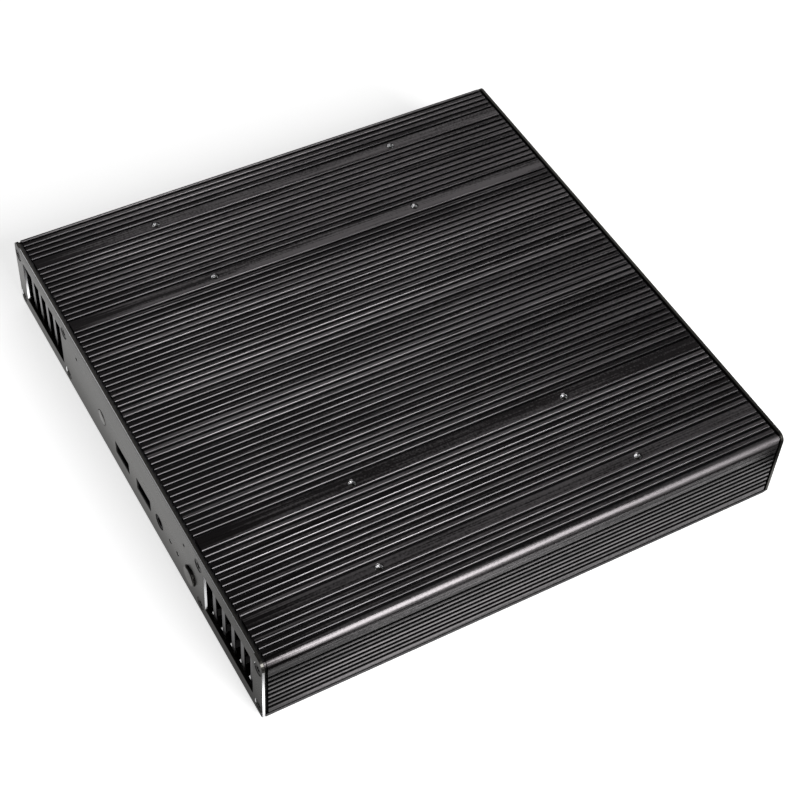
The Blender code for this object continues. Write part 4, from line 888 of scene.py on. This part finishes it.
def cut_masks(tree):
    """Where the dye is cut away, and how far the shading normal leans to the front there."""
    x, y, z = coordinates(tree)
    normal_x, _, normal_z = coordinates(tree, "Normal")
    across = calculate(tree, "ABSOLUTE", x)
    aside = calculate(tree, "GREATER_THAN", calculate(tree, "ABSOLUTE", normal_x), FACES_ASIDE)
    in_front = calculate(tree, "LESS_THAN", y, FRONT_Y + CUT_WIDTH)
    ends = calculate(tree, "GREATER_THAN", across, CUT_FROM)
    cut = product(tree, aside, in_front, ends)
    slanted = calculate(tree, "ABSOLUTE", product(tree, normal_x, normal_z))
    at_corner = calculate(tree, "MULTIPLY", slanted, 2.0)
    low = calculate(tree, "LESS_THAN", z, CUT_TOP)
    lean = product(tree, cut, calculate(tree, "SUBTRACT", 1.0, at_corner), low)
    inner = calculate(tree, "LESS_THAN", across, CUT_CORNER)
    cut = product(tree, cut, calculate(tree, "MAXIMUM", low, inner))
    upward = calculate(tree, "GREATER_THAN", normal_z, FACES_UP)
    on_rim = calculate(tree, "LESS_THAN", y, FRONT_Y + RIM_WIDTH)
    high = calculate(tree, "SUBTRACT", 1.0, low)
    rim = product(tree, product(tree, upward, on_rim), inner, high)
    return calculate(tree, "MAXIMUM", cut, rim), lean


def bright_cut(material):
    """Adds the bare sloping faces to a dyed plate that looks along -Y."""
    tree = material.node_tree
    shader = tree.nodes["Principled BSDF"]
    bare, lean = cut_masks(tree)
    dyed = shader.inputs["Base Color"].links[0].from_socket
    tree.links.new(mix_colours(tree, bare, dyed, BARE_METAL), shader.inputs["Base Color"])
    metal = calculate(tree, "MAXIMUM", bare, shader.inputs["Metallic"].default_value)
    tree.links.new(metal, shader.inputs["Metallic"])
    forward = tree.nodes.new("ShaderNodeVectorMath")
    forward.operation = "SCALE"
    tree.links.new(to_world(tree, CUT_NORMAL), forward.inputs[0])
    tree.links.new(lean, forward.inputs["Scale"])
    turned = tree.nodes.new("ShaderNodeVectorMath")
    turned.operation = "ADD"
    tree.links.new(shader.inputs["Normal"].links[0].from_socket, turned.inputs[0])
    tree.links.new(forward.outputs[0], turned.inputs[1])
    unit = tree.nodes.new("ShaderNodeVectorMath")
    unit.operation = "NORMALIZE"
    tree.links.new(turned.outputs[0], unit.inputs[0])
    tree.links.new(unit.outputs[0], shader.inputs["Normal"])
    return material


print("bright cut in mm:", round(1000 * CUT_WIDTH, 2), "and on the rim", round(1000 * RIM_WIDTH, 2))

# %% Panels, grilles and screws
panel_finish = make_finish("panel_black", **PANEL_LOOK)
cut_panel_finish = bright_cut(make_finish("panel_black_cut", **PANEL_LOOK))
grille_finish = make_finish(
    "grille_powder",
    dark=(0.060, 0.058, 0.060),
    light=(0.140, 0.137, 0.139),
    metallic=0.9,
    roughness=(0.26, 0.36),
    grain_mm=0.35,
    streak_share=0.1,
    edge_mm=0.1,
    bump_mm=0.012,
    grazing=0.8,
)
screw_finish = make_finish(
    "screw_oxide",
    dark=(0.030, 0.029, 0.027),
    light=(0.075, 0.072, 0.067),
    metallic=0.9,
    roughness=(0.24, 0.40),
    grain_mm=0.2,
    streak_share=0.2,
    edge_mm=0.3,
    # Painted shade: the edges are nearly black, for the dark ring round each head and in its cross.
    edge_colour=(0.003, 0.003, 0.003),
    edge_break=0.2,
    bump_mm=0.006,
    grazing=0.5,
)
dress(cut_panel_finish, "front_panel")
dress(panel_finish, "rear_panel")
dress(grille_finish, "vent_grille_left", "vent_grille_right")
dress(screw_finish, *numbered("front_screw", 8), *numbered("rear_screw", 4))
dress(screw_finish, *numbered("base_screw", 6), *numbered("bracket_screw", 2))

# %% [markdown]
# ## Bare metal inside
# The bracket, nuts and standoffs are zinc-plated steel with rolling marks, the cooling block
# is milled aluminium and the pipes are copper that has gone a little dull. These are true
# metals, so the colour is the colour of their reflection and Metallic is 1. The drive plates
# lie under the tapped holes and are blackened as painted shade, so that the holes look deep.

# %% Inner metals
zinc_finish = make_finish(
    "zinc_plate",
    dark=(0.36, 0.36, 0.37),
    light=(0.52, 0.52, 0.51),
    metallic=1.0,
    roughness=(0.30, 0.48),
    streak_scale=(700, 10, 700),
    grain_mm=0.5,
    bump_mm=0.006,
)
milled_finish = make_finish(
    "milled_aluminium",
    dark=(0.58, 0.59, 0.60),
    light=(0.72, 0.72, 0.73),
    metallic=1.0,
    roughness=(0.24, 0.42),
    streak_scale=(8, 900, 900),
    streak_contrast=1.5,
    bump_mm=0.01,
)
copper_finish = make_finish(
    "pipe_copper",
    dark=(0.55, 0.24, 0.13),
    light=(0.82, 0.44, 0.29),
    metallic=1.0,
    roughness=(0.20, 0.40),
    streak_scale=(500, 14, 500),
    cloud_mm=12.0,
    bump_mm=0.006,
)
dress(zinc_finish, *numbered("board_standoff", 4), *numbered("board_screw", 2), "port_bracket")
# Painted shade: the drive plates take the black screw oxide, so the tapped holes look deep.
dress(screw_finish, "drive_plate_left", "drive_plate_right")
dress(zinc_finish, *[f"grille_nut_{a}_{b}" for a in ("left", "right") for b in ("low", "high")])
dress(milled_finish, "contact_block", "pipe_clamp_front", "pipe_clamp_rear")
dress(copper_finish, "heat_pipe_left", "heat_pipe_right")

# %% [markdown]
# ## Plastics, rubber and circuit board
# The sockets and the switch are black moulded nylon with a spark-eroded texture, the feet
# are matt rubber, and the board has a green lacquer over copper. The spark texture swallows
# nearly all mirroring, even at a low angle, so the nylon has an IOR close to 1.

# %% Plastics and rubber
nylon_finish = make_finish(
    "moulded_nylon",
    dark=(0.0065, 0.0065, 0.0070),
    light=(0.0120, 0.0120, 0.0125),
    metallic=0.0,
    roughness=(0.40, 0.60),
    grain_mm=0.2,
    streak_share=0.0,
    edge_mm=0.1,
    bump_mm=0.02,
    ior=1.08,
)
rubber_finish = make_finish(
    "foot_rubber",
    dark=(0.010, 0.010, 0.010),
    light=(0.020, 0.020, 0.020),
    metallic=0.0,
    roughness=(0.70, 0.90),
    grain_mm=0.4,
    streak_share=0.0,
    bump_mm=0.04,
)
board_finish = make_finish(
    "board_lacquer",
    dark=(0.006, 0.045, 0.022),
    light=(0.012, 0.085, 0.040),
    metallic=0.0,
    roughness=(0.18, 0.34),
    streak_scale=(260, 260, 260),
    streak_contrast=2.0,
    grain_mm=0.6,
    bump_mm=0.02,
)
dress(nylon_finish, "usb_socket_left", "usb_socket_right", "audio_jack")
dress(nylon_finish, "light_holder", "power_switch")
dress(rubber_finish, *[f"foot_{a}_{b}" for a in ("front", "rear") for b in ("left", "right")])
dress(board_finish, "port_board")

# %% [markdown]
# ## Lenses
# The two small lights end in clear plastic that lets light through, so they need real
# transmission to show depth and not just a grey dot. The round window in the middle is
# coated so that it looks like the panel round it, and its rim is painted nearly black as the
# shade of a thin gap along its edge.

# %% Lenses
LIGHT_PASSED = 0.8

light_finish = make_finish(
    "light_lens",
    dark=(0.60, 0.62, 0.62),
    light=(0.78, 0.806, 0.806),
    metallic=0.0,
    roughness=(0.08, 0.2),
    grain_mm=0.6,
    streak_share=0.0,
    bump_mm=0.002,
    ior=1.49,
)
light_shader = light_finish.node_tree.nodes["Principled BSDF"]
light_shader.inputs["Transmission Weight"].default_value = LIGHT_PASSED
smoked_finish = make_finish(
    "smoked_lens",
    dark=(0.052, 0.050, 0.047),
    light=(0.110, 0.106, 0.100),
    metallic=0.85,
    roughness=(0.16, 0.26),
    grain_mm=0.6,
    streak_share=0.0,
    edge_mm=0.25,
    # Painted shade: the rim is nearly black, for the thin gap along the edge.
    edge_colour=(0.006, 0.006, 0.006),
    edge_break=0.1,
    bump_mm=0.002,
    grazing=0.6,
)
dress(light_finish, "status_light_drive", "status_light_power")
dress(smoked_finish, "infrared_lens")

# %% [markdown]
# ## Push button
# The cap is turned aluminium, blasted and dyed like the panel, with a fine bright ring
# where its edge is cut. Turning marks are circles round the axis of travel, so they come
# from the distance to that axis and not from a picture.


# %% Push button
TURNING_PITCH = 0.35 * MM
TURNING_DEPTH = 0.012 * MM


def add_turning_marks(material):
    """Circles round the axis of the button, as a lathe leaves them on its face."""
    low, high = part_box("power_button")
    middle = [(low[i] + high[i]) / 2 for i in range(3)]
    tree = material.node_tree
    shader = tree.nodes["Principled BSDF"]
    x, _, z = coordinates(tree)
    from_x = calculate(tree, "SUBTRACT", x, middle[0])
    from_z = calculate(tree, "SUBTRACT", z, middle[2])
    square = calculate(tree, "MULTIPLY", from_x, from_x)
    radius = calculate(tree, "SQRT", calculate(tree, "MULTIPLY_ADD", from_z, from_z, square))
    turns = calculate(tree, "MULTIPLY", radius, 2 * math.pi / TURNING_PITCH)
    marks = add_node(tree, "ShaderNodeBump", Strength=1.0, Distance=TURNING_DEPTH)
    tree.links.new(calculate(tree, "SINE", turns), marks.inputs["Height"])
    tree.links.new(shader.inputs["Normal"].links[0].from_socket, marks.inputs["Normal"])
    tree.links.new(marks.outputs["Normal"], shader.inputs["Normal"])
    print("button axis in mm:", [round(1000 * value, 2) for value in middle])


button_finish = make_finish(
    "button_turned",
    dark=(0.065, 0.062, 0.058),
    light=(0.140, 0.135, 0.127),
    metallic=0.9,
    roughness=(0.26, 0.36),
    grain_mm=0.2,
    streak_share=0.2,
    edge_mm=0.3,
    edge_colour=(0.20, 0.195, 0.19),
    edge_break=0.1,
    bump_mm=0.006,
    ior=1.6,
    grazing=0.6,
)
add_turning_marks(button_finish)
dress(button_finish, "power_button")
